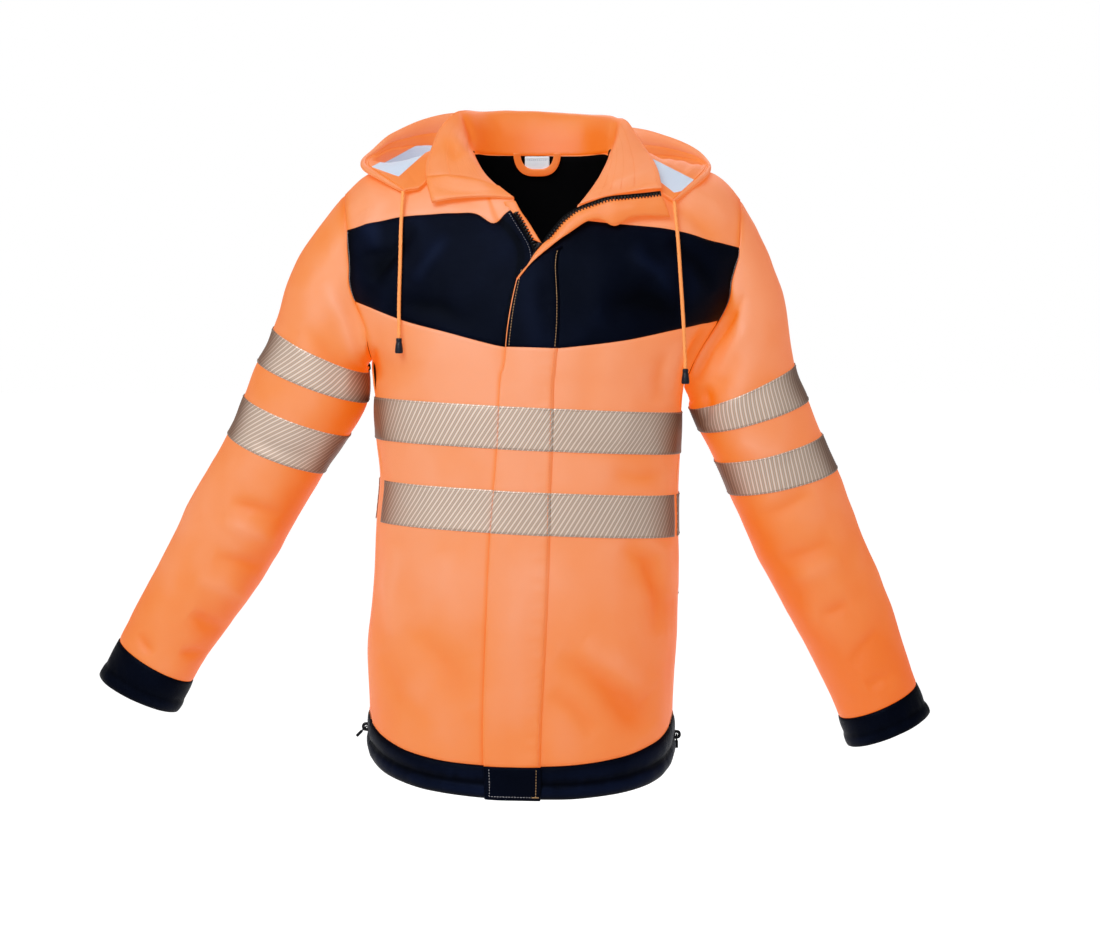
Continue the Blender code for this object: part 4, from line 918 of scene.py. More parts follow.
def stitch_row(name, path, out, thread, width=STITCH_WIDTH, pitch=STITCH_PITCH, length=STITCH_LENGTH):
    """Row of stitches along a path that lies on the cloth, as one mesh."""
    gone = gone_along(path)
    points, faces = [], []
    ends = ((-0.5, 0.25, -0.6), (-0.28, 1.0, 0.45), (0.28, 1.0, 0.45), (0.5, 0.25, -0.6))
    for at in np.arange(pitch / 2, gone[-1] - pitch / 2, pitch):
        place, ahead = on_path(gone, path, (at, at + length / 4))
        up = on_path(gone, out, at)
        run = (ahead - place) / max(np.linalg.norm(ahead - place), 1e-9)
        side = np.cross(run, up)
        side /= max(np.linalg.norm(side), 1e-9)
        base = len(points)
        for along, broad, high in ends:
            middle = place + run * along * length + up * high * width
            for aside, rise in ((-1, -0.5), (0, 0.5 * broad), (1, -0.5)):
                points.append(middle + side * aside * broad * width + up * rise * width)
        for k in range(len(ends) - 1):
            for i in range(2):
                a = base + 3 * k + i
                faces.append((a, a + 3, a + 4, a + 1))
    return mesh_object(name, points, faces, [thread])


def lift_off(grid_points, grid_out, rows, columns, height):
    """Path and normals over a grid, at a height above it."""
    path, out = on_grid(grid_points, rows, columns), on_grid(grid_out, rows, columns)
    return path + out * height, out


def sew(name, points, out, rows, columns, height, thread, **how):
    """Row of stitches over a grid, at a height above it."""
    stitch_row(name, *lift_off(points, out, rows, columns, height), thread, **how)


def thread_material(name, colour):
    """Dull twisted thread."""
    made, tree, shader = new_material(name, colour, 0.6)
    bump(tree, shader, speckle(tree, 2500.0, 1.0), 0.3, 0.0001)
    return made


pale_thread = thread_material("pale_grey_thread", (0.33, 0.32, 0.34))
gold_thread = thread_material("gold_thread", (0.42, 0.24, 0.1))
orange_thread = thread_material("orange_thread", (0.9, 0.27, 0.08))
tape_thread = thread_material("tan_thread", (0.3, 0.22, 0.17))

# heights of the threads over the cloth
FLUSH_THREAD, LOW_THREAD, RAISED_THREAD = 0.0002, 0.0003, 0.0012
ZIP_STITCH_FOOT_Z = -0.108
for side in ("right", "left"):
    points, out, _ = part(side, "yoke_bottom", "yoke_top")
    rows = np.linspace(0.4, len(points) - 1.4, 60)
    column = 2.4 if side == "right" else points.shape[1] - 3.4
    sew(f"yoke_stitch_{side}", points, out, rows, column, RAISED_THREAD, pale_thread)
for key in ("right", "left", "back"):
    points, out, _ = part(key, "hem_top", "armpit")
    columns = np.linspace(0.3, points.shape[1] - 1.3, 5 * points.shape[1])
    sew(f"hem_edge_stitch_{key}", points, out, 0.5, columns, LOW_THREAD, orange_thread)
points, out, _ = part("right", "yoke_bottom", "yoke_top")
foot = np.arange(len(points))[points[:, -2, 2] > ZIP_STITCH_FOOT_Z][0]
rows = np.linspace(foot, len(points) - 1.5, 60)
sew("zip_side_stitch", points, out, rows, points.shape[1] - 2.7, LOW_THREAD, pale_thread)


# Storm flap
# A placket of two layers covers the zip. It is stitched down along the wearer's left front and free along
# its other edge, where an orange piping shows. It is navy across the yoke and again in a tab over the hem
# band.
FLAP_LIFT = 0.0012
FLAP_CLOTH = 0.0022
FLAP_RISE = 0.0016
FLAP_PUCKER = 0.0009
FLAP_SLANT = 0.55
FLAP_TOP = FLAP_LIFT + FLAP_CLOTH
FLAP_DIP = 0.0007
TAB_LIFT = 0.0016 + HEM_ROLL * 0.55
TAB_INSET = 1.1
PIPING_TOP_Z = -0.1165
flap_columns = BODY["flap"].shape[1]


def flap_levels(points):
    """Lower level of the flap over its grid: low along its stitched edge and puckered beside it."""
    across = np.linspace(0, 1, points.shape[1])[None]
    rise = FLAP_RISE * np.sin(np.pi * np.clip(across * 0.9 + 0.06, 0, 1)) ** 0.6
    beside = np.exp(-((across - 0.86) / 0.13) ** 2)
    level = FLAP_LIFT + rise + FLAP_PUCKER * beside * soft_waves(points, (0.03, 0.03, 0.0075), 2.4)
    return level - 0.85 * level * np.exp(-((1 - across) / 0.035) ** 2)


def flap_thickness(points):
    """The flap thins towards its stitched edge, where it is turned under."""
    across = np.linspace(0, 1, points.shape[1])[None]
    return FLAP_CLOTH * (1 - 0.7 * np.exp(-((1 - across) / 0.035) ** 2))


def rolled_edge(name, path, out, beside, radius, materials):
    """Narrow roll of cloth along an edge; its radius may change along the way."""
    turns = np.linspace(0, 2 * math.pi, 10, endpoint=False)
    radius = np.broadcast_to(radius, len(path))[:, None]
    ring = [path + beside * radius * (0.5 + math.cos(t)) + out * radius * math.sin(t) for t in turns]
    points = np.stack(ring, axis=1).reshape(-1, 3)
    faces = [face[::-1] for face in ring_faces(len(path), len(turns))]
    faces += [tuple(range(len(turns))), tuple(range(len(points) - 1, len(points) - len(turns) - 1, -1))]
    return mesh_object(name, points, faces, materials)


flap_orange, flap_orange_out, shade = part("flap", "hem_top", "yoke_bottom")
low = flap_levels(flap_orange)
high = low + flap_thickness(flap_orange) + seam_dip(low.shape, "bt", FLAP_DIP)
# painted shade: the flap is darker where it sits low, by its stitched edge and in its puckers
sewn("flap_orange", flap_orange, flap_orange_out, low, high, both_orange, name="storm_flap_orange",
     crease=shade + np.maximum(low - low.mean(), -0.0012) * 1.6)

low_row, high_row = BODY_ROW["yoke_bottom"], BODY_ROW["yoke_v"]
slant = np.linspace(FLAP_SLANT, 0, flap_columns) * (high_row - BODY_ROW["yoke_low"])
rows = low_row + np.linspace(0, 1, high_row - low_row + 1)[:, None] * (high_row - slant - low_row)[None]
columns = np.broadcast_to(np.arange(flap_columns), rows.shape)
flap_navy, flap_navy_out = (on_grid(grid["flap"], rows, columns) for grid in (BODY, BODY_OUT))
low = flap_levels(flap_navy)
high = low + flap_thickness(flap_navy) + seam_dip(low.shape, "b", FLAP_DIP)
# painted shade of the flap, without its painted light
shade = on_grid(BODY_TONE["flap"][..., None], rows, columns)[..., 0] - painted_height_light(flap_navy) - FLAP_LIGHT
sewn("flap_navy", flap_navy, flap_navy_out, low, high, [navy_cloth, orange_cloth], name="storm_flap_navy",
     crease=shade)

tab, tab_out, _ = part("flap", "hem_edge", "hem_top")
sewn("flap_tab", tab, tab_out, TAB_LIFT, TAB_LIFT + FLAP_CLOTH, [navy_cloth, navy_cloth],
     name="storm_flap_tab")

side_edge = flap_navy[:, 0], flap_navy_out[:, 0], unit(flap_navy[:, 0] - flap_navy[:, 1])
top_edge = flap_navy[-1, 1:], flap_navy_out[-1, 1:], unit(flap_navy[-1, 1:] - flap_navy[-2, 1:])
path, out, beside = (np.concatenate(pair) for pair in zip(side_edge, top_edge))
path = path + out * (FLAP_LIFT + FLAP_CLOTH * 0.6)
broad = np.interp(np.arange(len(path)), (0, len(flap_navy) - 1, len(path) - 1), (0.0009, 0.0013, 0.0022))
piping = rolled_edge("storm_flap_piping", path, out, beside, broad, [orange_cloth, navy_cloth])
for face in piping.data.polygons:
    face.material_index = int(face.center.z > PIPING_TOP_Z)
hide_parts("flap_piping")

stitched = flap_columns - 2.1
rows = np.linspace(0.5, len(flap_orange) - 1.5, 500)
sew("storm_flap_stitch_orange", flap_orange, flap_orange_out, rows, stitched, FLAP_TOP + RAISED_THREAD,
    orange_thread)
rows = np.linspace(0.5, len(flap_navy) - 1.2, 120)
for name, column, height in (("stitch_gold", stitched, RAISED_THREAD), ("edge_stitch", 1.3, 0.0014)):
    sew(f"storm_flap_{name}", flap_navy, flap_navy_out, rows, column, FLAP_TOP + height, gold_thread)
tab_high = TAB_LIFT + FLAP_CLOTH + FLUSH_THREAD
near, far = TAB_INSET * 1.6, flap_columns - 1 - TAB_INSET * 1.6
down = np.linspace(len(tab) - 1.5, TAB_INSET, 20)
rows = np.concatenate([down, np.full(30, TAB_INSET)])
columns = np.concatenate([np.full(20, near), np.linspace(near, flap_columns - 1 - TAB_INSET, 30)])
sew("tab_stitch", tab, tab_out, rows, columns, tab_high, pale_thread)
sew("tab_gold_stitch", tab, tab_out, np.append(down, 0.2), far, tab_high, gold_thread)
tack = np.linspace(far - 1.4, far + 1.4, 12)
sew("tab_bar_tack", tab, tab_out, TAB_INSET, tack, tab_high + LOW_THREAD, gold_thread, width=0.0007,
    pitch=0.0012, length=0.0014)


# Reflective tapes
# Two silver tapes, 50 mm wide, run round the body and cross the storm flap. They are printed in slanting
# stripes that leave thin lines of the orange showing, and each is sewn down along both edges.
TAPE = 0.0008
TAPE_LIFT = 0.0005
TAPE_GAP = 0.0002
TAPE_THREAD = 0.00035
STRIPE_PITCH = 0.0051
STRIPE_LEAN = math.radians(31)


def tape_material(name, lean):
    """Satin silver stripes that lean over, with thin orange lines between them and a fine bead texture;
    painted shade darkens them where the tape turns to the side.
    """
    made, tree, shader = new_material(name, (0.6, 0.55, 0.5), 0.48)
    flat = node(tree, "ShaderNodeUVMap", uv_map="cloth").outputs["UV"]
    split = node(tree, "ShaderNodeSeparateXYZ", {"Vector": flat}).outputs
    leaned = combine(tree, "MULTIPLY_ADD", split["Y"], -math.tan(lean), split["X"])
    cycle = combine(tree, "MULTIPLY", leaned, math.cos(lean) / STRIPE_PITCH)
    ramp = node(tree, "ShaderNodeValToRGB", {"Fac": combine(tree, "FRACT", cycle)})
    stops = ramp.color_ramp.elements
    gap, pale, tan = (0.5, 0.25, 0.12), (0.7, 0.61, 0.54), (0.46, 0.38, 0.32)
    stops[0].position, stops[0].color = 0.0, (*gap, 1)
    stops[1].position, stops[1].color = 1.0, (*gap, 1)
    for place, colour in ((0.05, gap), (0.13, pale), (0.42, pale), (0.5, gap), (0.54, gap), (0.62, tan),
                          (0.94, tan)):
        stops.new(place).color = (*colour, 1)
    # painted shade: the stripes are darkened where the tape turns to the side
    turned = node(tree, "ShaderNodeAttribute", attribute_name="crease").outputs["Fac"]
    side_shaded = blend(tree, turned, ramp.outputs["Color"], (0.34, 0.2, 0.13, 1), blend_type="MULTIPLY")
    tree.links.new(side_shaded, shader.inputs["Base Color"])
    shader.inputs["Metallic"].default_value = 0.15
    bump(tree, shader, speckle(tree, 3000.0, 1.0, flat), 0.2, 0.0001)
    return made


silver_tape = tape_material("striped_silver_tape", STRIPE_LEAN)


def tape_piece(stands_for, points, out, low, start=0.0, closed=False, material=silver_tape):
    """Tape on a grid, sewn along its upper and lower edges; it is painted darker where it turns to the side,
    a painted shade.
    """
    name = f"{stands_for}_silver"
    side_shaded = 0.92 * smooth_step((0.86 - np.abs(out[..., 1])) / 0.5)
    sewn(stands_for, points, out, low, low + TAPE, [material], name=name, held="laid", closed=closed,
         start=start, crease=side_shaded)
    around, around_out = wrapped(points, closed), wrapped(out, closed)
    columns = np.linspace(0, around.shape[1] - 1, 4 * points.shape[1])
    high = np.max(low) + TAPE + FLUSH_THREAD
    for edge, row in (("lower", 0.45), ("upper", len(points) - 1.45)):
        sew(f"{name}_{edge}_stitch", around, around_out, row, columns, high, tape_thread, width=TAPE_THREAD)


FRONT_FLAP = BODY_COLUMN["right"][FLAP_COLUMN]
BACK_FLAP = BODY_COLUMN["left"][FRONT_COLUMNS - FLAP_COLUMN]
# how many columns before the side seams the tapes stop: on each front, and at the back's right end
VENT_GAPS = {"upper": (0, 0), "lower": (3, 6)}
for level, (front_gap, back_gap) in VENT_GAPS.items():
    names = (f"{level}_tape_bottom", f"{level}_tape_top")
    points, out, _ = part("right", *names, slice(front_gap, FRONT_FLAP + 1))
    tape_piece(f"tape_{level}_right", points, out, TAPE_LIFT)
    start = float(travel(points, 1)[-1])
    points, out, _ = part("flap", *names)
    over_flap = flap_levels(points) + flap_thickness(points) + TAPE_GAP
    tape_piece(f"tape_{level}_flap", points, out, over_flap, start + 0.001)
    start += float(travel(points, 1)[-1])
    points, out, _ = part("left", *names, slice(BACK_FLAP, BODY["left"].shape[1] - front_gap))
    tape_piece(f"tape_{level}_left", points, out, TAPE_LIFT, start)
    points, out, _ = part("back", *names, slice(BODY["back"].shape[1] - back_gap))
    tape_piece(f"tape_{level}_back", points, out, TAPE_LIFT)


# Sleeves
# Each sleeve is a tapered tube set into the armhole, a little full over the cap. It hangs out and forward,
# with slack creases inside the elbow and above the cuff.

# outer x and z, inner x and z, half depth, centre y
SLEEVE_ROWS = {
    "right": {
        "upper_tape_top": (-0.3265, -0.173, -0.21, -0.228, 0.067, 0.004),
        "upper_tape_bottom": (-0.346, -0.214, -0.211, -0.264, 0.066, 0.006),
        "lower_tape_top": (-0.362, -0.256, -0.233, -0.304, 0.064, 0.009),
        "lower_tape_bottom": (-0.383, -0.303, -0.264, -0.35, 0.061, 0.012),
        "elbow": (-0.422, -0.372, -0.309, -0.427, 0.056, 0.018),
        "forearm": (-0.466, -0.458, -0.36, -0.509, 0.05, 0.024),
        "cuff_top": (-0.519, -0.558, -0.429, -0.609, 0.043, 0.03),
        "cuff_ridge": (-0.534, -0.588, -0.44, -0.631, 0.044, 0.032),
        "cuff_end": (-0.543, -0.601, -0.448, -0.645, 0.043, 0.033),
    },
    "left": {
        "upper_tape_top": (0.309, -0.218, 0.181, -0.272, 0.067, 0.004),
        "upper_tape_bottom": (0.326, -0.261, 0.193, -0.3, 0.066, 0.006),
        "lower_tape_top": (0.342, -0.304, 0.212, -0.336, 0.064, 0.009),
        "lower_tape_bottom": (0.361, -0.346, 0.23, -0.376, 0.061, 0.012),
        "elbow": (0.389, -0.417, 0.273, -0.47, 0.056, 0.018),
        "forearm": (0.426, -0.506, 0.32, -0.557, 0.05, 0.024),
        "cuff_top": (0.462, -0.612, 0.367, -0.653, 0.046, 0.03),
        "cuff_ridge": (0.471, -0.634, 0.373, -0.673, 0.047, 0.032),
        "cuff_end": (0.478, -0.645, 0.377, -0.687, 0.047, 0.033),
    },
}
SLEEVE_PITCH = math.radians(7)
CAP_FRACTIONS = (0.22, 0.46, 0.72)
CAP_BULGE, CAP_FLARE, CAP_LOW_SHARE = 0.012, 0.5, 0.25
SLEEVE_FRONT_CREASES = {
    "right": (
        (((-262, -120), (-236, -165), (-222, -215)), 12, 3.5),
        (((-285, -170), (-255, -210), (-235, -245)), 16, -2.6),
        (((-345, -310), (-305, -325), (-270, -330)), 12, -2.4),
        (((-378, -385), (-345, -390), (-315, -400)), 13, -3.5),
        (((-385, -410), (-350, -420), (-320, -432)), 13, 2.8),
        (((-396, -450), (-365, -456), (-340, -468)), 13, -3.2),
        (((-420, -480), (-385, -488), (-355, -505)), 14, 2.6),
        (((-425, -520), (-405, -535), (-385, -545)), 13, -4.5),
        (((-440, -570), (-425, -572), (-408, -570)), 9, -3.6),
        (((-490, -545), (-482, -560), (-470, -572)), 9, -2.6),
        (((-400, -330), (-430, -410), (-462, -500)), 24, 2.4),
    ),
    "left": (
        (((186, -240), (203, -200), (222, -170), (246, -134)), 8, -6),
        (((212, -235), (226, -205), (248, -170)), 12, 3.6),
        (((198, -243), (200, -262), (199, -292)), 8, -4.8),
        (((300, -225), (262, -250), (230, -262)), 18, -2),
        (((300, -330), (265, -325), (235, -310)), 12, 2.2),
        (((330, -370), (290, -392), (262, -400)), 14, -2.8),
        (((352, -430), (320, -445), (290, -452)), 14, -3),
        (((362, -452), (330, -470), (300, -482)), 15, 2.6),
        (((372, -505), (352, -518), (335, -520)), 12, -3),
        (((410, -540), (390, -560), (375, -585)), 13, -2.4),
        (((375, -330), (405, -420), (435, -520)), 22, 2.2),
        (((395, -610), (415, -600), (430, -600)), 10, -2.6),
    ),
}
SLEEVE_BACK_CREASES = {
    "right": (
        (((-260, -80), (-250, -140), (-245, -200)), 16, -3.6),
        (((-285, -100), (-275, -160), (-270, -215)), 18, 3.2),
        (((-400, -365), (-365, -380), (-320, -385)), 13, -4.5),
        (((-410, -390), (-375, -405), (-335, -410)), 13, 4),
        (((-420, -415), (-385, -430), (-345, -440)), 13, -4),
        (((-450, -480), (-420, -500), (-390, -530)), 15, -3),
        (((-490, -540), (-460, -560), (-430, -565)), 10, -2.8),
    ),
    "left": (
        (((262, -90), (250, -150), (240, -210)), 16, -3.6),
        (((290, -120), (275, -180), (262, -235)), 18, 3.2),
        (((370, -410), (335, -425), (290, -430)), 13, -4.5),
        (((380, -435), (345, -450), (300, -455)), 13, 4),
        (((390, -460), (355, -475), (315, -485)), 13, -4),
        (((415, -525), (385, -545), (355, -575)), 15, -3),
        (((440, -585), (415, -605), (385, -610)), 10, -2.8),
    ),
}


def radial(points, outward):
    """Directions away from the middle of an armhole, square to the way out of it."""
    spokes = points - points.mean(axis=0)
    return unit(spokes - np.outer(spokes @ outward, outward))


def armhole_loop(grids, rows, side):
    """Armhole points from the shoulder tip down the front to the armpit and up the back."""
    front_column, back_column = (0, -1) if side == "right" else (-1, 0)
    front = grids[side][rows, front_column][::-1]
    return np.concatenate([front, grids["back"][rows, back_column][1:-1]])


def sleeve_ring(side, row, count):
    """Ring of points round a sleeve at a named row, from its outer edge over its front."""
    outer_x, outer_z, inner_x, inner_z, half_depth, centre_y = SLEEVE_ROWS[side][row]
    outer, inner = np.array((outer_x, centre_y, outer_z)), np.array((inner_x, centre_y, inner_z))
    centre, half = (outer + inner) / 2, (outer - inner) / 2
    forward = np.array((0, -math.cos(SLEEVE_PITCH), -math.sin(SLEEVE_PITCH))) * half_depth
    turns = [2 * math.pi * k / count for k in range(count)]
    return np.array([centre + half * math.cos(turn) + forward * math.sin(turn) for turn in turns])


def sleeve_surface(side):
    """Fine grid of a sleeve from its cuff's end to the armhole, its normals, and its named rows."""
    upper = slice(ROW_NAMES.index("armpit"), None)
    loop = armhole_loop(ROUGH_BODY, upper, side)
    rings = {row: sleeve_ring(side, row, len(loop)) for row in SLEEVE_ROWS[side]}
    outward = np.array((-1.0 if side == "right" else 1.0, 0, 0))
    turns = 2 * math.pi * np.arange(len(loop)) / len(loop)
    swell = (CAP_LOW_SHARE + (1 - CAP_LOW_SHARE) * np.clip(np.cos(turns), 0, 1))[:, None]
    away = radial(loop, outward) * CAP_FLARE + outward
    first = rings["upper_tape_top"]
    cap = [loop + (first - loop) * share + away * swell * CAP_BULGE * math.sin(math.pi * share)
           for share in CAP_FRACTIONS[::-1]]
    order = list(SLEEVE_ROWS[side])[::-1]
    rough = np.array([rings[row] for row in order] + cap + [loop])
    tall, places = refine(rough, 0, *span_counts(rough, 0))
    wrap = 4
    wide = np.concatenate([tall[:, -wrap:], tall, tall[:, :wrap + 1]], axis=1)
    gaps = np.linalg.norm(np.diff(wide, axis=1), axis=2).mean(axis=0)
    upper_counts = list(ROW_COUNTS[upper.start:])
    counts = upper_counts[::-1] + upper_counts
    every = counts[-wrap:] + counts + counts[:wrap]
    fine, marks = refine(wide, 1, gaps, every)
    fine = fine[:, marks[wrap]:marks[wrap + len(counts)]]
    true_loop = armhole_loop(BODY, slice(BODY_ROW["armpit"], None), side)
    ease = (smooth_step(1 - np.arange(len(fine))[::-1] / 10))[:, None, None]
    fine = fine + (true_loop - fine[-1])[None] * ease
    if side == "left":
        fine = fine[:, ::-1]
    return fine, grid_normals(fine, closed=True), dict(zip(order, places))


def sleeve_lift(points, out, side, cuff_row):
    """Creases and unevenness of a sleeve, fading out at the armhole and less by the cuff."""
    lift = pressed_in(points, out, SLEEVE_FRONT_CREASES[side], SLEEVE_BACK_CREASES[side], 1.2)
    lift += unevenness(points, ((0.06, 0.06, 0.075), 11.4), ((0.024, 0.03, 0.03), 1.9), 0.6)
    from_top = smooth_step((len(points) - 1 - np.arange(len(points))) / 8)
    from_cuff = 0.35 + 0.65 * smooth_step(np.abs(np.arange(len(points)) - cuff_row) / 6)
    return lift * (from_top * from_cuff)[:, None]


CUFF_ROLL = 0.0013
SLEEVE_DIP = 0.001
# painted light that changes with height: slope, middle height and top
SLEEVE_HEIGHT_LIGHT = {"right": (0.003, -0.6, -0.15), "left": (0.024, -0.42, -0.15)}
SLEEVE_TAPES = {side: tape_material(f"striped_silver_tape_{side}_sleeve", math.radians(lean))
                for side, lean in (("right", 38), ("left", 12))}
for side in ("right", "left"):
    points, out, named = sleeve_surface(side)
    cuff = named["cuff_top"]
    lift = sleeve_lift(points, out, side, cuff)
    points = points + out * lift[..., None]
    # painted shade on the inner side, towards the sides and along the armhole seam, and painted light high up
    inner = smooth_step(out[..., 0] * (1 if side == "right" else -1) * 1.3 - 0.1)
    from_seam = travel(points[::-1], 0)[::-1]
    shade = lift + painted_height_light(points, *SLEEVE_HEIGHT_LIGHT[side])
    shade -= SIDE_SHADE * (1.5 * inner + 0.3 * turned_away(out))
    shade -= SEAM_SHADE * np.exp(-(from_seam / SEAM_WIDTH) ** 2)[:, None]
    high = seam_dip(lift[cuff:].shape, "bt", SLEEVE_DIP)
    sewn(f"sleeve_{side}", points[cuff:], out[cuff:], -CLOTH, high, lined_orange, closed=True,
         crease=shade[cuff:])
    band, band_out = points[:cuff + 1], out[:cuff + 1]
    high = band_roll(band, named["cuff_ridge"], CUFF_ROLL, HEM_PUCKER * 0.7, 8.8)
    # painted shade: the cuff is darker where its roll sinks
    sewn(f"cuff_{side}", band, band_out, -CLOTH, high, lined_navy, closed=True,
         crease=(high - 0.0018) * BAND_SHADE)
    for level in ("upper", "lower"):
        rows = slice(named[f"{level}_tape_bottom"], named[f"{level}_tape_top"] + 1)
        tape_piece(f"sleeve_{side}_tape_{level}", points[rows], out[rows], TAPE_LIFT, closed=True,
                   material=SLEEVE_TAPES[side])


# Collar
# A soft stand collar, open and rolled outwards, of the orange cloth on both faces over a light filling. A
# guard strip is sewn inside its foot.
COLLAR_EDGE = in_mm(
    (-128, -90, -26), (-135, -74, 0), (-137, -52, 18), (-129, -18, 50), (-108, 30, 87), (-75, 72, 92),
    (-26, 90, 94), (35, 90, 91), (75, 68, 86), (98, 30, 82), (115, -10, 59), (130, -36, 33), (138, -58, 17),
    (143, -83, -9),
)
COLLAR_ROLL = 0.014
COLLAR_END_ROLL = 0.3
COLLAR_STEPS = 5
COLLAR_CLOTH = 0.003
COLLAR_FULLNESS, COLLAR_UNEVEN = 0.0012, 0.001
# painted light on the collar's fronts and painted shade on its back, darker towards its foot
COLLAR_FRONT_LIGHT, COLLAR_BACK_SHADE = 0.003, 0.0085
COLLAR_THREAD = 0.0004
GUARD_LEVELS = COLLAR_CLOTH + 0.0004, COLLAR_CLOTH + 0.0016
LAPEL_STITCHES = (0.3, 0.45, 0.6, 0.75)
COLLAR_CREASES = (
    (((-118, 60), (-104, 30), (-86, 38)), 8, -3),
    (((-132, 12), (-100, 0), (-62, -4)), 5, 2.2),
    (((-130, -6), (-100, -14), (-60, -16)), 6, -2),
    (((-100, 92), (-87, 60), (-84, 36)), 5, -4.2),
    (((95, 86), (90, 55), (85, 36)), 5, -4.2),
    (((135, 20), (110, 4), (80, -6)), 6, 2.2),
    (((138, 0), (110, -10), (75, -18)), 6, -2),
    (((-60, 88), (-52, 70), (-50, 52)), 12, -0.8),
    (((50, 86), (56, 66), (50, 48)), 12, -0.8),
)


def collar_surface():
    """Fine grid of the collar from the neck seam to its free edge."""
    right = ROUGH_BODY["right"][-1][SHOULDER_COLUMNS:][::-1]
    back = ROUGH_BODY["back"][-1][::-1][SHOULDER_COLUMNS + 1:-SHOULDER_COLUMNS - 1]
    left = ROUGH_BODY["left"][-1][:NECK_COLUMNS + 1][::-1]
    base = np.concatenate([right, back, left])
    edge = smooth_path(COLLAR_EDGE, len(base))
    along = COLLAR_END_ROLL + (1 - COLLAR_END_ROLL) * np.sin(np.pi * np.linspace(0, 1, len(base)))
    rows = []
    for share in np.linspace(0, 1, COLLAR_STEPS + 1):
        lift = COLLAR_ROLL * math.sin(math.pi * share)
        rows.append(base + (edge - base) * share + np.outer(along * lift, (0, 0, 1)))
    points, _, places = fine_grid(np.array(rows))
    return points, places


def eased_in(shares, rate):
    """Rises from 0 to 1 over the first part of a run of shares."""
    return np.sin(np.pi * np.clip(shares * rate, 0, 0.5))


points, places = collar_surface()
out = grid_normals(points)
rows, columns = points.shape[:2]
lift = crease_lift(points, COLLAR_CREASES) + COLLAR_UNEVEN * soft_waves(points, (0.03, 0.03, 0.03), 6.1)
lift *= smooth_step(np.arange(rows) / 5)[:, None]
points = points + out * lift[..., None]
share = np.linspace(0, 1, rows)[:, None]
ends = eased_in(np.linspace(0, 1, columns), 8)[None] * eased_in(np.linspace(1, 0, columns), 8)[None]
fullness = COLLAR_FULLNESS * np.sin(np.pi * share) * ends
front_share = smooth_step((np.abs(np.linspace(-1, 1, columns)) - 0.35) / 0.25)[None]
# painted light and shade: lighter on the fronts, darker low on the back
shade = lift + COLLAR_FRONT_LIGHT * front_share
shade -= COLLAR_BACK_SHADE * (1 - share) ** 1.3 * (1 - front_share)
sewn("collar", points, out, -fullness, COLLAR_CLOTH + fullness, both_orange, held="folded", crease=shade)
LAPELS = {"right": (0.6, places[4] - 0.5), "left": (places[-5] + 0.5, columns - 1.6)}
for number, share in enumerate(LAPEL_STITCHES):
    for name, span in LAPELS.items():
        sew(f"lapel_stitch_{name}_{number}", points, out, (rows - 1) * share, np.linspace(*span, 160),
            COLLAR_CLOTH + RAISED_THREAD, orange_thread)
edge = np.linspace(0.6, columns - 1.6, 500)
sew("collar_edge_stitch", points, out, rows - 1.7, edge, COLLAR_CLOTH + COLLAR_THREAD, orange_thread)
end = slice(places[1] + 1)
sewn("collar_guard", points[:, end], out[:, end], *GUARD_LEVELS, [orange_cloth], held="folded")


# Hood
# The hood is thrown back and lies in a roll behind the collar. Its opening is hemmed into a tunnel for the
# cord, with an orange facing inside the tunnel and a pale knitted mesh lining beyond.
HOOD_RIM = in_mm(
    (-164, -74, -12), (-196, -46, 6), (-220, -6, 24), (-210, 34, 44), (-181, 70, 64), (-150, 96, 80),
    (-112, 118, 90), (-60, 134, 90), (0, 140, 86), (55, 134, 80), (110, 116, 73), (150, 90, 64),
    (182, 62, 54), (203, 30, 36), (207, -4, 18), (190, -48, 1), (159, -76, -24),
)
HOOD_SEAM = in_mm(
    (-136, -67, 2), (-136, -52, 18), (-131, -30, 36), (-120, -6, 44), (-106, 26, 50), (-90, 50, 50),
    (-66, 70, 48), (-36, 83, 47), (0, 87, 47), (36, 83, 47), (66, 70, 47), (90, 50, 48), (106, 26, 47),
    (118, -4, 42), (129, -30, 32), (135, -52, 12), (137, -68, -4),
)
HOOD_FOLD = in_mm(
    (-146, -72, -8), (-162, -50, 12), (-176, 0, 34), (-186, 60, 22), (-184, 125, -40), (-158, 172, -110),
    (-110, 192, -165), (-55, 198, -190), (0, 199, -196), (55, 197, -192), (108, 190, -168),
    (156, 168, -112), (180, 120, -45), (184, 55, 22), (170, -2, 34), (158, -50, 10), (144, -74, -14),
)
HOOD_COLUMNS, HOOD_WALL_STEPS = 29, 5
HOOD_BULGE, HOOD_SAG, HOOD_TUCK, HOOD_CLEARANCE = 0.04, 0.15, 0.2, 0.011
HOOD_CLOTH, HOOD_SMOOTHING = 0.0015, 2
HOOD_RISE = {-1: (0.0068, 0.215, 0.03, -0.01), 1: (0.006, 0.19, 0.06, 0.02)}
TUNNEL_WIDTH, FACING_WIDTH, RIM_SET_BACK = 0.014, 0.026, 0.012
TUNNEL_BACK, TUNNEL_SWELL, TUNNEL_LIGHT = 0.0012, 0.0024, 0.0045
FACING_LEVELS = (-0.0014, -0.0003)
MESH_BACK, MESH_FRONT, MESH_STEP = 0.0024, 0.0004, 0.001
HOOD_UNEVEN = 0.002
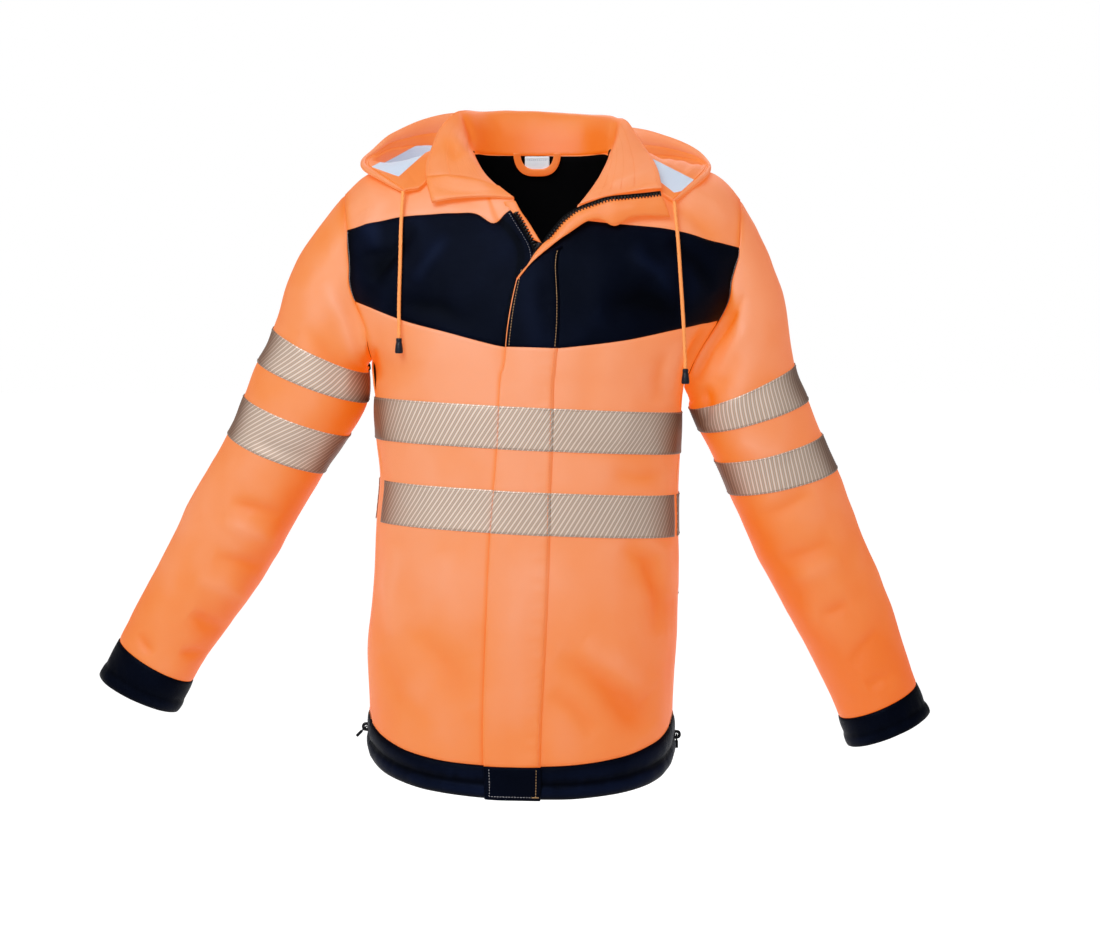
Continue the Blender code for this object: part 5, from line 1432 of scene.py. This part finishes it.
# where the pale mesh ends, as lines of (x, z) seen from the front with the mesh on their left
MESH_BORDERS = {
    "right": (((-0.2051, 0.0194), (-0.1732, 0.0084)), ((-0.1732, 0.0084), (-0.1368, 0.0403))),
    "left": (((0.148, 0.0001), (0.162, -0.0108)), ((0.162, -0.0108), (0.1809, -0.0076)),
             ((0.1809, -0.0076), (0.1896, 0.0035))),
}
MESH_TOPS = {"right": (((-0.128, 0.062), (-0.207, 0.02)),), "left": (((0.1915, 0.002), (0.136, 0.03)),)}
HOOD_CREASES = (
    (((-160, -10), (-150, -60), (-120, -120)), 18, -5),
    (((-120, 50), (-110, -20), (-80, -100)), 22, 4.5),
    (((-70, 60), (-65, -10), (-40, -80)), 18, -5),
    (((-20, 80), (-12, 0), (-8, -110)), 16, 3.5),
    (((45, 60), (50, -10), (40, -90)), 20, -5),
    (((100, 50), (98, -20), (75, -100)), 20, 4.5),
    (((150, 10), (140, -50), (110, -120)), 18, -5),
    (((-90, -140), (-30, -160), (40, -155), (95, -140)), 20, -4),
)


def clear_of_body(point):
    """Moves a point out of the shoulders or the back, whichever way is shorter."""
    x, y, z = point
    full, crest = (BACK_DEPTH, BACK_CREST) if y > 0 else (FRONT_DEPTH, FRONT_CREST)
    low = armpit_z(x)
    reach = body_depth(x, low, full, crest)
    if abs(y) >= reach + HOOD_CLEARANCE:
        return point
    share = min(abs(y) / max(reach, HOOD_CLEARANCE), 1)
    height = low + (ridge_z(x, crest) - low) * math.sqrt(1 - share ** 2)
    up = height + HOOD_CLEARANCE - z
    away = body_depth(x, z, full, crest) + HOOD_CLEARANCE - abs(y)
    if up <= 0 or away <= 0:
        return point
    if up < away:
        return (x, y, z + up)
    return (x, y + math.copysign(away, y), z)


def bend(start, control, end, share):
    """Point at a share of the way along a curve that a control point draws to itself."""
    return (1 - share) ** 2 * start + 2 * share * (1 - share) * control + share ** 2 * end


def hood_surface():
    """Fine grid of the hood from its opening over the fold to the neck seam, and the row of the fold."""
    rim, fold, seam = (smooth_path(line, HOOD_COLUMNS) for line in (HOOD_RIM, HOOD_FOLD, HOOD_SEAM))
    swell = np.sin(np.pi * np.linspace(0, 1, HOOD_COLUMNS)) ** 2 * HOOD_BULGE
    outward = fold - seam
    outward[:, 2] = 0
    outward /= np.maximum(np.linalg.norm(outward, axis=1, keepdims=True), 1e-6)
    shares = np.linspace(0, 1, HOOD_WALL_STEPS + 1)
    outer_control = (rim + fold) / 2 + outward * swell[:, None] + (fold - rim) * HOOD_SAG
    inner_control = (fold + seam) / 2 + (fold - seam) * np.array((0, 0, HOOD_TUCK))
    rows = [bend(rim, outer_control, fold, share) for share in shares]
    rows += [bend(fold, inner_control, seam, share) for share in shares[1:]]
    rough = np.array([[clear_of_body(point) for point in row] for row in rows])
    for _ in range(HOOD_SMOOTHING):
        rough[1:, 1:-1] = rough[1:, 1:-1] / 2 + (rough[1:, :-2] + rough[1:, 2:]) / 4
    fine, places, _ = fine_grid(rough)
    return fine, places[HOOD_WALL_STEPS]


points, fold_row = hood_surface()
for side, (rise, reach, fade, start) in HOOD_RISE.items():
    x, y = points[..., 0] * side, points[..., 1]
    share = smooth_step((reach - x) / fade) * smooth_step((x - 0.07) / 0.03) * smooth_step((y - start) / 0.04)
    points[..., 2] += rise * share * smooth_step(1.5 - 1.5 * np.arange(len(points)) / fold_row)[:, None]
out = grid_normals(points)
behind, rows = smooth_step(points[..., 1] * 12), np.arange(len(points))[:, None]
lift = crease_lift(points, HOOD_CREASES) * behind * smooth_step(1 - (rows - fold_row) / 6)
lift += HOOD_UNEVEN * soft_waves(points, (0.045, 0.045, 0.05), 9.6) * smooth_step(rows / 6)
points = points + out * lift[..., None]
gone = np.linalg.norm(np.diff(points, axis=0), axis=2)
gone = np.concatenate([np.zeros((1, points.shape[1])), np.cumsum(gone, axis=0)])
facing_row = int(np.searchsorted(gone.mean(axis=1), FACING_WIDTH))
tunnel_row = max(2, int(np.searchsorted(gone.mean(axis=1), TUNNEL_WIDTH)))
set_back = RIM_SET_BACK * np.clip(1 - rows / (facing_row + 2), 0, 1)
set_back = set_back * smooth_step(np.minimum(points[..., 1] * 20 + 0.4, 1))
points = points + set_back[..., None] * np.array((0.0, 1.0, 0.0))
out = grid_normals(points)


def above_lines(x, z, lines):
    """Least distance of points from the lines, counted positive on each line's left-hand side."""
    least = np.full(x.shape, 1.0)
    for (x0, z0), (x1, z1) in lines:
        length = math.hypot(x1 - x0, z1 - z0)
        least = np.minimum(least, ((x1 - x0) * (z - z0) - (z1 - z0) * (x - x0)) / length)
    return least


shrink = VIEW_DISTANCE / (VIEW_DISTANCE + points[..., 1])
seen_x, seen_z = points[..., 0] * shrink, LENS_HEIGHT + (points[..., 2] - LENS_HEIGHT) * shrink
centre = (0.122 - np.abs(points[..., 0])) * 0.5
inside = (points[..., 1] - 0.055) * 0.5
for side, lines in MESH_BORDERS.items():
    ours = np.maximum(inside, above_lines(seen_x, seen_z, lines))
    ours = np.minimum(ours, above_lines(seen_x, seen_z, MESH_TOPS[side]))
    inside = np.where((points[..., 0] > 0) == (side == "left"), ours, inside)
inside = np.maximum(inside, centre)
hood_mesh, tree, shader, deep = shell_cloth("pale_knitted_mesh", *ORANGE_TONES, 0.5, ORANGE_GAIN)
facing_glow = painted_glow(tree, shader, deep)
flat = node(tree, "ShaderNodeUVMap", uv_map="cloth").outputs["UV"]
holes = {"Vector": flat, "Scale": 600.0, "Randomness": 0.1}
cells = node(tree, "ShaderNodeTexVoronoi", holes).outputs["Distance"]
knit = blend(tree, cells, (0.44, 0.49, 0.57, 1), (0.28, 0.32, 0.4, 1))
share = node(tree, "ShaderNodeAttribute", attribute_name="inside_border").outputs["Fac"]
border = {"Value": share, "From Min": -0.0003, "From Max": 0.0003}
is_mesh = node(tree, "ShaderNodeMapRange", border).outputs["Result"]
facing_tone = shader.inputs["Base Color"].links[0].from_socket
tree.links.new(blend(tree, is_mesh, facing_tone, knit), shader.inputs["Base Color"])
# painted glow: the facing keeps the orange glow and the mesh glows a pale blue-grey, so that it stays light
# in the hood's shade
tree.links.new(blend(tree, is_mesh, facing_glow, (0.37, 0.41, 0.48, 1)), shader.inputs["Emission Color"])
bump(tree, shader, cells, 0.4, 0.0003)

shell, tunnel = slice(tunnel_row, None), slice(tunnel_row + 1)
facing, mesh = slice(tunnel_row, facing_row + 1), slice(facing_row, None)
# painted shade in the hood's crease troughs and painted highlight on their crests
sewn("hood_shell", points[shell], out[shell], 0, HOOD_CLOTH, both_orange, held="folded", crease=lift[shell])
swell = TUNNEL_SWELL * np.sin(np.pi * np.linspace(0, 1, tunnel_row + 1))[:, None]
# painted light: the tunnel is painted lighter than its creases alone would make it
sewn("hood_rim", points[tunnel], out[tunnel], -TUNNEL_BACK - swell, HOOD_CLOTH + swell, both_orange,
     name="hood_tunnel_cloth", held="folded", crease=lift[tunnel] + TUNNEL_LIGHT)
strip = cloth_piece("hood_facing_cloth", points[facing], out[facing], *FACING_LEVELS, both_orange)
declare_cut(points[facing])
step = MESH_STEP * smooth_step(inside[mesh] / 0.004 + 0.5)
lining = sewn("hood_lining", points[mesh], out[mesh], -MESH_BACK + step, -MESH_FRONT, [hood_mesh, hood_mesh],
              name="hood_lining_mesh", held="folded")
borders = np.full(len(lining.data.vertices), -0.01)
borders[:2 * inside[mesh].size] = np.tile(inside[mesh].ravel(), 2)
lining.data.attributes.new("inside_border", "FLOAT", "POINT").data.foreach_set("value", borders)


# Main zip
# Chunky moulded teeth on black tape. The zip is closed under the storm flap and open above its slider. A
# guard strip lies behind the right half, and the flap's facing is turned outwards beside the left half.
OPEN_ZIP = {
    "right": in_mm(
        (-11, -111, -70), (-16, -110, -61), (-23, -108, -48), (-30, -104, -37),
    ),
    "left": in_mm(
        (9, -112, -68), (18, -111.5, -57), (30, -109, -44), (44, -105, -35), (58, -104.5, -29),
        (80, -104, -22), (106, -101, -19), (125, -96, -17), (143, -89, -14.5),
    ),
}
OPEN_ZIP_HALF = 0.0032
STRIP_FACING = (0.0, -1.0, 0.2)
GUARD_EDGE = in_mm(
    (1, -111, -74.5), (-7, -108.5, -61), (-15, -104.5, -48), (-24, -99, -35.5),
)
TURNBACK_EDGE = in_mm(
    (15, -118, -74.5), (30, -115.5, -64), (43, -112.5, -55), (54, -110, -48), (70, -108, -46),
    (86, -106, -53), (106, -102, -44), (130, -96, -41), (153, -88, -42),
)
TURNBACK_FOOT = in_mm(
    (-27.5, -129, -117), (-18.3, -128, -105.3), (-9, -126.5, -95.3), (1.6, -124.5, -85.9),
)
TURNBACK_FOOT_INNER = in_mm(
    (-25.8, -127.5, -113.5), (-14.8, -125.5, -98.8), (-6.6, -122.5, -85.9), (1.6, -119.5, -76.5),
)
GUARD_TOP = (-0.03, -0.0955, -0.024)
GUARD_SET_BACK = (-0.002, 0.0029, 0)
TURNBACK_SWELL = (0, -0.003, 0.001)
TOOTH_PITCH = 0.004
TOOTH_LENGTH = 0.0046
# along the tooth, half width, half thickness
TOOTH_STATIONS = (
    (-0.5, 0.00075, 0.0008), (-0.42, 0.00105, 0.0012), (0.05, 0.00095, 0.0012), (0.38, 0.00085, 0.0011),
    (0.5, 0.0005, 0.0007),
)
CLOSED_TEETH = 0.03
ZIP_TAPE, ZIP_GUARD = 0.0009, 0.0014
TURNBACK_CLOTH, TURNBACK_EDGE_ROLL, TURNBACK_UNEVEN = 0.0016, 0.0009, 0.0012


def zip_teeth(name, path, middle, pitch=TOOTH_PITCH, length=TOOTH_LENGTH, start=0.0, frames=None, sides=(1,)):
    """Row of moulded teeth along a path, each a rounded block that reaches across it."""
    lines = (path, *(frames or path_frames(path, STRIP_FACING)))
    gone = gone_along(path)
    points, faces = [], []
    corner = 0.55
    outline = ((1, corner), (corner, 1), (-corner, 1), (-1, corner), (-1, -corner), (-corner, -1),
               (corner, -1), (1, -corner))
    for side in sides:
        for at in np.arange(start + (pitch / 2 if side < 0 else 0), gone[-1], pitch):
            place, along, across, up = (on_path(gone, line, at) for line in lines)
            base = len(points)
            for reach, broad, thick in TOOTH_STATIONS:
                centre = place + across * side * (middle + reach * length)
                points += [centre + along * a * broad + up * b * thick for a, b in outline]
            rows = range(len(TOOTH_STATIONS) - 1)
            for j in rows:
                for i in range(8):
                    a, b = base + 8 * j + i, base + 8 * j + (i + 1) % 8
                    face = (a, b, b + 8, a + 8)
                    faces.append(face if side > 0 else face[::-1])
            last = base + 8 * len(rows)
            ends = (tuple(range(base + 7, base - 1, -1)), tuple(range(last, last + 8)))
            faces += ends if side > 0 else tuple(end[::-1] for end in ends)
    return mesh_object(name, points, faces, [tooth_plastic])


zip_cloth, tree, shader = new_material("black_zip_tape", (0.0015, 0.0015, 0.002), 0.8, gloss=0.12)
weave(tree, shader, 0.0005, 0.5)
tooth_plastic, tree, shader = new_material("black_moulded_teeth", (0.004, 0.004, 0.005), 0.32, gloss=0.3)
bump(tree, shader, speckle(tree, 1500.0, 2.0), 0.15, 0.0001)

closed_rows = slice(0, BODY_ROW["yoke_v"] + 1)
front_edges = {"right": BODY["right"][closed_rows, -1], "left": BODY["left"][closed_rows, 0]}
middle_edge = (front_edges["right"] + front_edges["left"]) / 2
gone = gone_along(middle_edge)
below = middle_edge[gone > gone[-1] - CLOSED_TEETH][:-1:4] + (0, 0.0015, 0)
for side in ("right", "left"):
    opened = smooth_path(OPEN_ZIP[side], 12 if side == "right" else 44)
    aside = path_frames(opened, STRIP_FACING)[1]
    near, far = opened - aside * OPEN_ZIP_HALF, opened + aside * OPEN_ZIP_HALF * 0.4
    pair = (front_edges[side], middle_edge) if side == "right" else (middle_edge, front_edges[side])
    near, far = np.concatenate([pair[0], near]), np.concatenate([pair[1], far])
    points = np.stack([near + (far - near) * share for share in np.linspace(0, 1, 4)], axis=1)
    sewn(f"zip_{side}", points, grid_normals(points), -CLOTH, -CLOTH + ZIP_TAPE, [zip_cloth],
         name=f"zip_{side}_tape", held="folded")
    line = smooth_path(np.concatenate([below, OPEN_ZIP[side]]), 160)
    zip_teeth(f"zip_{side}_teeth", line, OPEN_ZIP_HALF * 0.3, start=0 if side == "right" else TOOTH_PITCH / 2)

opened = smooth_path(OPEN_ZIP["right"], 16)
near = opened + path_frames(opened, STRIP_FACING)[1] * OPEN_ZIP_HALF * 0.4 + GUARD_SET_BACK
edge = smooth_path((*GUARD_EDGE, GUARD_TOP), 16)
near = smooth_path((*near[::4], near[-1] + (-0.007, 0.005, 0.0005), near[-1] + (-0.013, 0.008, 0.011)), 16)
points = np.stack([near + (edge - near) * share + np.array((0, -0.0012, 0.0006)) * math.sin(math.pi * share)
                   for share in np.linspace(0, 1, 6)], axis=1)
sewn("zip_guard", points, grid_normals(points), -ZIP_GUARD, 0, [orange_cloth], held="folded")

opened = np.array(OPEN_ZIP["left"])
near = opened + path_frames(opened, STRIP_FACING)[1] * OPEN_ZIP_HALF * 0.35 + (0, 0.0014, 0)
near = np.concatenate([TURNBACK_FOOT_INNER, near])
edge = np.concatenate([TURNBACK_FOOT, TURNBACK_EDGE])
swell = np.interp(np.arange(len(near)), (0, 3, 6), (0.2, 0.5, 1))[:, None]
rough = np.stack([near, near * 0.55 + edge * 0.45 + np.array(TURNBACK_SWELL) * swell,
                  near * 0.15 + edge * 0.85 + np.array((0, -0.0022, 0)) * swell, edge], axis=1)
points = fine_grid(rough)[0]
out = grid_normals(points)
lift = TURNBACK_UNEVEN * soft_waves(points, (0.018, 0.018, 0.018), 3.7)
lift *= np.sin(np.pi * np.linspace(0.05, 0.95, points.shape[0]))[:, None]
points = points + out * lift[..., None]
across = np.linspace(0, 1, points.shape[1])[None]
rolled = TURNBACK_EDGE_ROLL * np.exp(-((across - 1) / 0.08) ** 2)
# painted shade in the facing's hollows and painted highlight on its rises
sewn("flap_facing", points, out, -TURNBACK_CLOTH, rolled, [orange_cloth], held="folded", crease=lift)


# Side vents
# A short zip lies in a recess of each side seam, from the hem up, so that the hem can be let out. Its
# slider stands at the hem.
VENT_TAPE = 0.009
VENT_LEVELS = (0.0002, 0.0008)
VENT_TOOTH = 0.003
vent_rows = slice(0, BODY_ROW["flank"] + 1)
for side, (first, last) in VENT_COLUMNS.items():
    columns = slice(BODY_COLUMN["back"][first], BODY_COLUMN["back"][last] + 1)
    points, out = BODY["back"][vent_rows, columns], BODY_OUT["back"][vent_rows, columns]
    width = float(travel(points, 1)[-1])
    rows = np.arange(len(points))[:, None]
    places = (points.shape[1] - 1) * (0.5 + VENT_TAPE / width * np.linspace(-0.5, 0.5, 5))[None]
    points, out = on_grid(points, rows, places), on_grid(out, rows, places)
    sewn(f"vent_zip_{side}", points, out, *VENT_LEVELS, [zip_cloth], name=f"vent_zip_{side}_tape")
    middle = (points.shape[1] - 1) / 2
    path, path_out = lift_off(points, out, np.arange(0, len(points), 2), middle, RAISED_THREAD)
    run = unit(np.gradient(path, axis=0))
    zip_teeth(f"vent_zip_{side}_teeth", path, VENT_TOOTH / 3, pitch=VENT_TOOTH, length=VENT_TOOTH,
              frames=(run, np.cross(run, path_out), path_out), sides=(1, -1))


# Zip sliders
# Lacquered die-cast sliders. Each has a shield-shaped plate and a bridge, and a tapered pull that hangs
# from the bridge and swings on its crossbar.
SHIELD = in_mm(
    (0, 5.2), (2.8, 5), (4.1, 3.6), (4.1, 0.8), (3.4, -2.4), (2.4, -4.6), (0, -5.1),
)
PULL_OUTLINE = in_mm(
    (0, 1), (1.8, 0.8), (2.5, -0.6), (2.5, -5.6), (1.8, -7.6), (1.9, -10), (2.5, -14), (2, -16), (0, -16.5),
)
PULL_WINDOW = in_mm(
    (0, -0.6), (0.9, -0.7), (1.4, -1.2), (1.4, -4), (1.3, -5.5), (0, -6),
)
GRIP_OUTLINE = in_mm(
    (0, -7.2), (2.1, -7.6), (2.8, -11), (2.6, -15.6), (0, -16.7),
)
GRIP_THICK = {"main": 0.0022, "vent_left": 0.0034, "vent_right": 0.0034}
BRIDGE = in_mm(
    (2.9, 0.8), (2.9, 3.6), (2.2, 5.6), (0, 6.3), (-2.2, 5.6), (-2.9, 3.6), (-2.9, 0.8),
)
PIVOT_HEIGHT = 0.0034
PLATE_TOP = 0.002
PULL_THICK = 0.0018
PLATE_BOTTOM, PLATE_RIM, PULL_RIM, GRIP_RIM = 0.0004, 0.0005, 0.0003, 0.0004
BRIDGE_HALF_WIDTH, BRIDGE_THICK = 0.0009, 0.003
SLIDER_LAYOUT = {
    "main": ("main_pull_hinge", (-0.5, 0, -1), 0, 1.0),
    "vent_left": ("vent_left_pull_hinge", (0, 0, -1), 0, 1.2),
    "vent_right": ("vent_right_pull_hinge", (0, 0, -1), -45, 1.2),
}


def mirrored(half, count):
    """Closed outline from its right half, given from the top down."""
    right = smooth_path(half, count)
    return np.concatenate([right, right[-2:0:-1] * (-1, 1)])


def plate(outline, low, high, rim, hole=None):
    """Flat plate with rounded rims; a hole has as many points as the outline."""
    points, faces, count = [], [], len(outline)
    small = outline + unit(outline.mean(axis=0) - outline) * rim
    rings = [(small, low), (outline, low + rim), (outline, high - rim), (small, high)]
    if hole is not None:
        large = hole + unit(hole - hole.mean(axis=0)) * rim
        rings += [(large, high), (hole, high - rim), (hole, low + rim), (large, low)]
    for ring, level in rings:
        points += [(x, y, level) for x, y in ring]
    loops = len(rings)
    for j in range(loops if hole is not None else loops - 1):
        for i in range(count):
            k, up = (i + 1) % count, (j + 1) % loops
            faces.append((j * count + k, j * count + i, up * count + i, up * count + k))
    if hole is None:
        faces.append(tuple(range(count)))
        faces.append(tuple(range(loops * count - 1, (loops - 1) * count - 1, -1)))
    return points, faces


def arch(line, half, thick):
    """Flat bar bent along a line in the slider's upright middle plane."""
    path = smooth_path([(0, y, z) for y, z in line], 24)
    up = np.cross((1, 0, 0), unit(np.gradient(path, axis=0)))
    section = ((1, 0.4), (0.6, 1), (-0.6, 1), (-1, 0.4), (-1, -0.4), (-0.6, -1), (0.6, -1), (1, -0.4))
    points = [tuple(place + np.array((a * half, 0, 0)) + rise * b * thick / 2)
              for place, rise in zip(path, up) for a, b in section]
    return points, ring_faces(len(path), len(section))


def joined(pieces):
    """Points and faces of several pieces as those of one."""
    points, faces = [], []
    for more_points, more_faces in pieces:
        faces += [tuple(k + len(points) for k in face) for face in more_faces]
        points += more_points
    return points, faces


lacquer, tree, shader = new_material("black_lacquered_metal", (0.008, 0.009, 0.012), 0.45, gloss=0.15)
# painted highlight: the lacquer is lighter on its sharp edges
edge_sharpness = node(tree, "ShaderNodeNewGeometry").outputs["Pointiness"]
edge_highlight = node(tree, "ShaderNodeMapRange", {"Value": edge_sharpness, "From Min": 0.6, "From Max": 0.8}).outputs["Result"]
tone(tree, shader, edge_highlight, (0.006, 0.0065, 0.009), (0.03, 0.031, 0.036))
bump(tree, shader, speckle(tree, 1200.0, 2.0), 0.12, 0.0001)

hinges = {hinge["name"]: hinge for hinge in frame["joints"]}
for name, (joint, along, turn, size) in SLIDER_LAYOUT.items():
    hinge = hinges[joint]
    side = -Vector(hinge["axis"]).normalized()
    down = Vector(along).normalized()
    out = down.cross(side).normalized()
    down = side.cross(out)
    axes = Matrix((side, -down, out)).transposed().to_4x4()
    pivot = Vector(hinge["pos_m"])
    base = Matrix.Translation(pivot - out * PIVOT_HEIGHT * size) @ axes @ Matrix.Scale(size, 4)
    shield = plate(mirrored(SHIELD, 14), PLATE_BOTTOM, PLATE_TOP, PLATE_RIM)
    points, faces = joined([shield, arch(BRIDGE, BRIDGE_HALF_WIDTH, BRIDGE_THICK)])
    slider = mesh_object(f"{name}_slider_body", [base @ Vector(p) for p in points], faces, [lacquer])
    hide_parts(f"{name}_slider")
    swing = Matrix.Translation(pivot) @ axes @ Matrix.Rotation(math.radians(turn), 4, "X")
    grip = GRIP_THICK[name] / 2
    body, window, end = (mirrored(line, 18) for line in (PULL_OUTLINE, PULL_WINDOW, GRIP_OUTLINE))
    points, faces = joined([plate(body, -PULL_THICK / 2, PULL_THICK / 2, PULL_RIM, hole=window),
                            plate(end, -grip, grip, GRIP_RIM)])
    points = [swing @ Vector(p) for p in points]
    pull = mesh_object(f"{name}_pull_tab", points, faces, [lacquer], body=f"{name}_pull")
    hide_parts(f"{name}_pull")


# Hang loop and label
# An orange loop and a blank woven label are sewn in at the back of the neck, over the lining.
LOOP_CENTRE_X, LOOP_TOP_Z = -0.005, 0.0415
LOOP_HALF_WIDTH, LOOP_DROP, LOOP_BAND = 0.029, 0.027, 0.008
LABEL_SIZE = (0.03, 0.02)
LABEL_TOP_Z = 0.038
LOOP_SQUARENESS = 0.65
LABEL_STAND_OFF, LOOP_STAND_OFF = 0.0034, 0.0048
LOOP_CLOTH, LOOP_CROWN = 0.0012, 0.0008
LABEL_CLOTH, LABEL_FOLD, LABEL_FOLD_ROW = 0.0007, 0.0006, 8


def neck_inside(x, z):
    """Inner side of the lining at the back of the neck, between its two upper rows."""
    low = (armhole_edge("shoulder_mid", "right")[1] + armhole_edge("shoulder_mid", "left")[1]) / 2
    share = (z - low) / (NECK_BACK_Z - low)
    level = (1 - share) * back_point(x, low)[1] + share * back_point(x, NECK_BACK_Z)[1]
    return level - CLOTH - LINING_GAP - LINING


turns = np.radians(np.linspace(180, 360, 49))
aside = np.sign(np.cos(turns)) * np.abs(np.cos(turns)) ** LOOP_SQUARENESS
bands = []
for inset in np.linspace(LOOP_BAND, 0, 6):
    x = LOOP_CENTRE_X + (LOOP_HALF_WIDTH - inset) * aside
    z = LOOP_TOP_Z + (LOOP_DROP - inset) * np.sin(turns)
    bands.append([(a, neck_inside(a, b) - LOOP_STAND_OFF, b) for a, b in zip(x, z)])
points = np.stack(bands, axis=1)
across = np.linspace(-1, 1, points.shape[1])[None]
ahead = np.broadcast_to((0.0, -1.0, 0.0), points.shape)
high = LOOP_CLOTH + LOOP_CROWN * (1 - across ** 2)
sewn("hang_loop", points, ahead, 0, high, [orange_cloth], held="folded")

label_cloth, tree, shader = new_material("white_woven_label", (0.86, 0.88, 0.92), 0.6)
# painted glow: a faint bluish emission keeps the label light in the shade inside the neck
shader.inputs["Emission Color"].default_value = (0.8, 0.88, 1.0, 1)
shader.inputs["Emission Strength"].default_value = 0.2
weave(tree, shader, 0.0005, 0.5)
width, height = LABEL_SIZE
xs = LOOP_CENTRE_X + np.linspace(-width / 2, width / 2, 13)
zs = LABEL_TOP_Z + np.linspace(-height, 0, 11)
points = np.array([[(x, neck_inside(x, z) - LABEL_STAND_OFF, z) for x in xs] for z in zs])
ahead = np.broadcast_to((0.0, -1.0, 0.0), points.shape)
fold = LABEL_FOLD * np.exp(-((np.arange(len(zs)) - LABEL_FOLD_ROW) / 0.8) ** 2)[:, None]
sewn("label", points, ahead, 0, LABEL_CLOTH - fold, [label_cloth], name="neck_label_cloth", held="laid")
sew("neck_label_stitch", points, ahead, LABEL_FOLD_ROW, np.linspace(0.5, 11.5, 40), 0.0004, pale_thread,
    pitch=0.0026, length=0.0018)


# Studio
# A pale plain floor below, and soft light from large panels on both sides and above.
FLOOR_Z, FLOOR_REACH = -1.15, 30
FRONT_SKY, BACK_SKY = 0.3, 1.0
floor_finish, tree, shader = new_material("pale_floor", (0.92, 0.92, 0.92), 0.9, gloss=0.0)
tone(tree, shader, speckle(tree, 3.0, 3.0), (0.91, 0.91, 0.91), (0.94, 0.94, 0.94))
shader.inputs["Emission Color"].default_value = (1, 1, 1, 1)
place = node(tree, "ShaderNodeTexCoord").outputs["Object"]
away = node(tree, "ShaderNodeSeparateXYZ", {"Vector": place}).outputs["Y"]
fade = {"Value": away, "From Min": -0.4, "From Max": 0.95, "To Min": 0.0, "To Max": 0.78}
glow = node(tree, "ShaderNodeMapRange", fade).outputs["Result"]
tree.links.new(glow, shader.inputs["Emission Strength"])
floor = bpy.data.objects.new("floor", bpy.data.meshes.new("floor"))
floor_corners = [(x * FLOOR_REACH, y * FLOOR_REACH, FLOOR_Z) for x, y in ((-1, -1), (1, -1), (1, 1), (-1, 1))]
floor.data.from_pydata(floor_corners, [], [(0, 1, 2, 3)])
floor.data.materials.append(floor_finish)
bpy.context.scene.collection.objects.link(floor)

world = bpy.data.worlds.new("studio")
world.use_nodes = True
tree = world.node_tree
way = node(tree, "ShaderNodeTexCoord").outputs["Generated"]
split = node(tree, "ShaderNodeSeparateXYZ", {"Vector": way}).outputs["Y"]
sky = {"Value": split, "From Min": 0.93, "From Max": 0.965, "To Min": FRONT_SKY, "To Max": BACK_SKY}
behind = node(tree, "ShaderNodeMapRange", sky).outputs["Result"]
tree.links.new(behind, tree.nodes["Background"].inputs["Strength"])
tree.nodes["Background"].inputs["Color"].default_value = (1, 1, 1, 1)
bpy.context.scene.world = world
bpy.context.scene.view_settings.view_transform = "Standard"


def light_panel(name, place, aim, size, power):
    """Soft square light turned towards a point."""
    data = bpy.data.lights.new(name, "AREA")
    data.shape = "RECTANGLE"
    data.size, data.size_y = size
    data.energy = power
    lamp = bpy.data.objects.new(name, data)
    lamp.location = place
    lamp.rotation_euler = (Vector(aim) - Vector(place)).to_track_quat("-Z", "Y").to_euler()
    bpy.context.scene.collection.objects.link(lamp)


MIDDLE = (0, 0, -0.35)
light_panel("key_light", (-0.75, -1.8, 1.0), MIDDLE, (1.3, 1.2), 47)
light_panel("fill_light", (2.0, -2.4, 0.9), MIDDLE, (1.4, 1.8), 5)
light_panel("rear_light", (0.4, 2.4, 1.4), MIDDLE, (2.0, 1.2), 14)
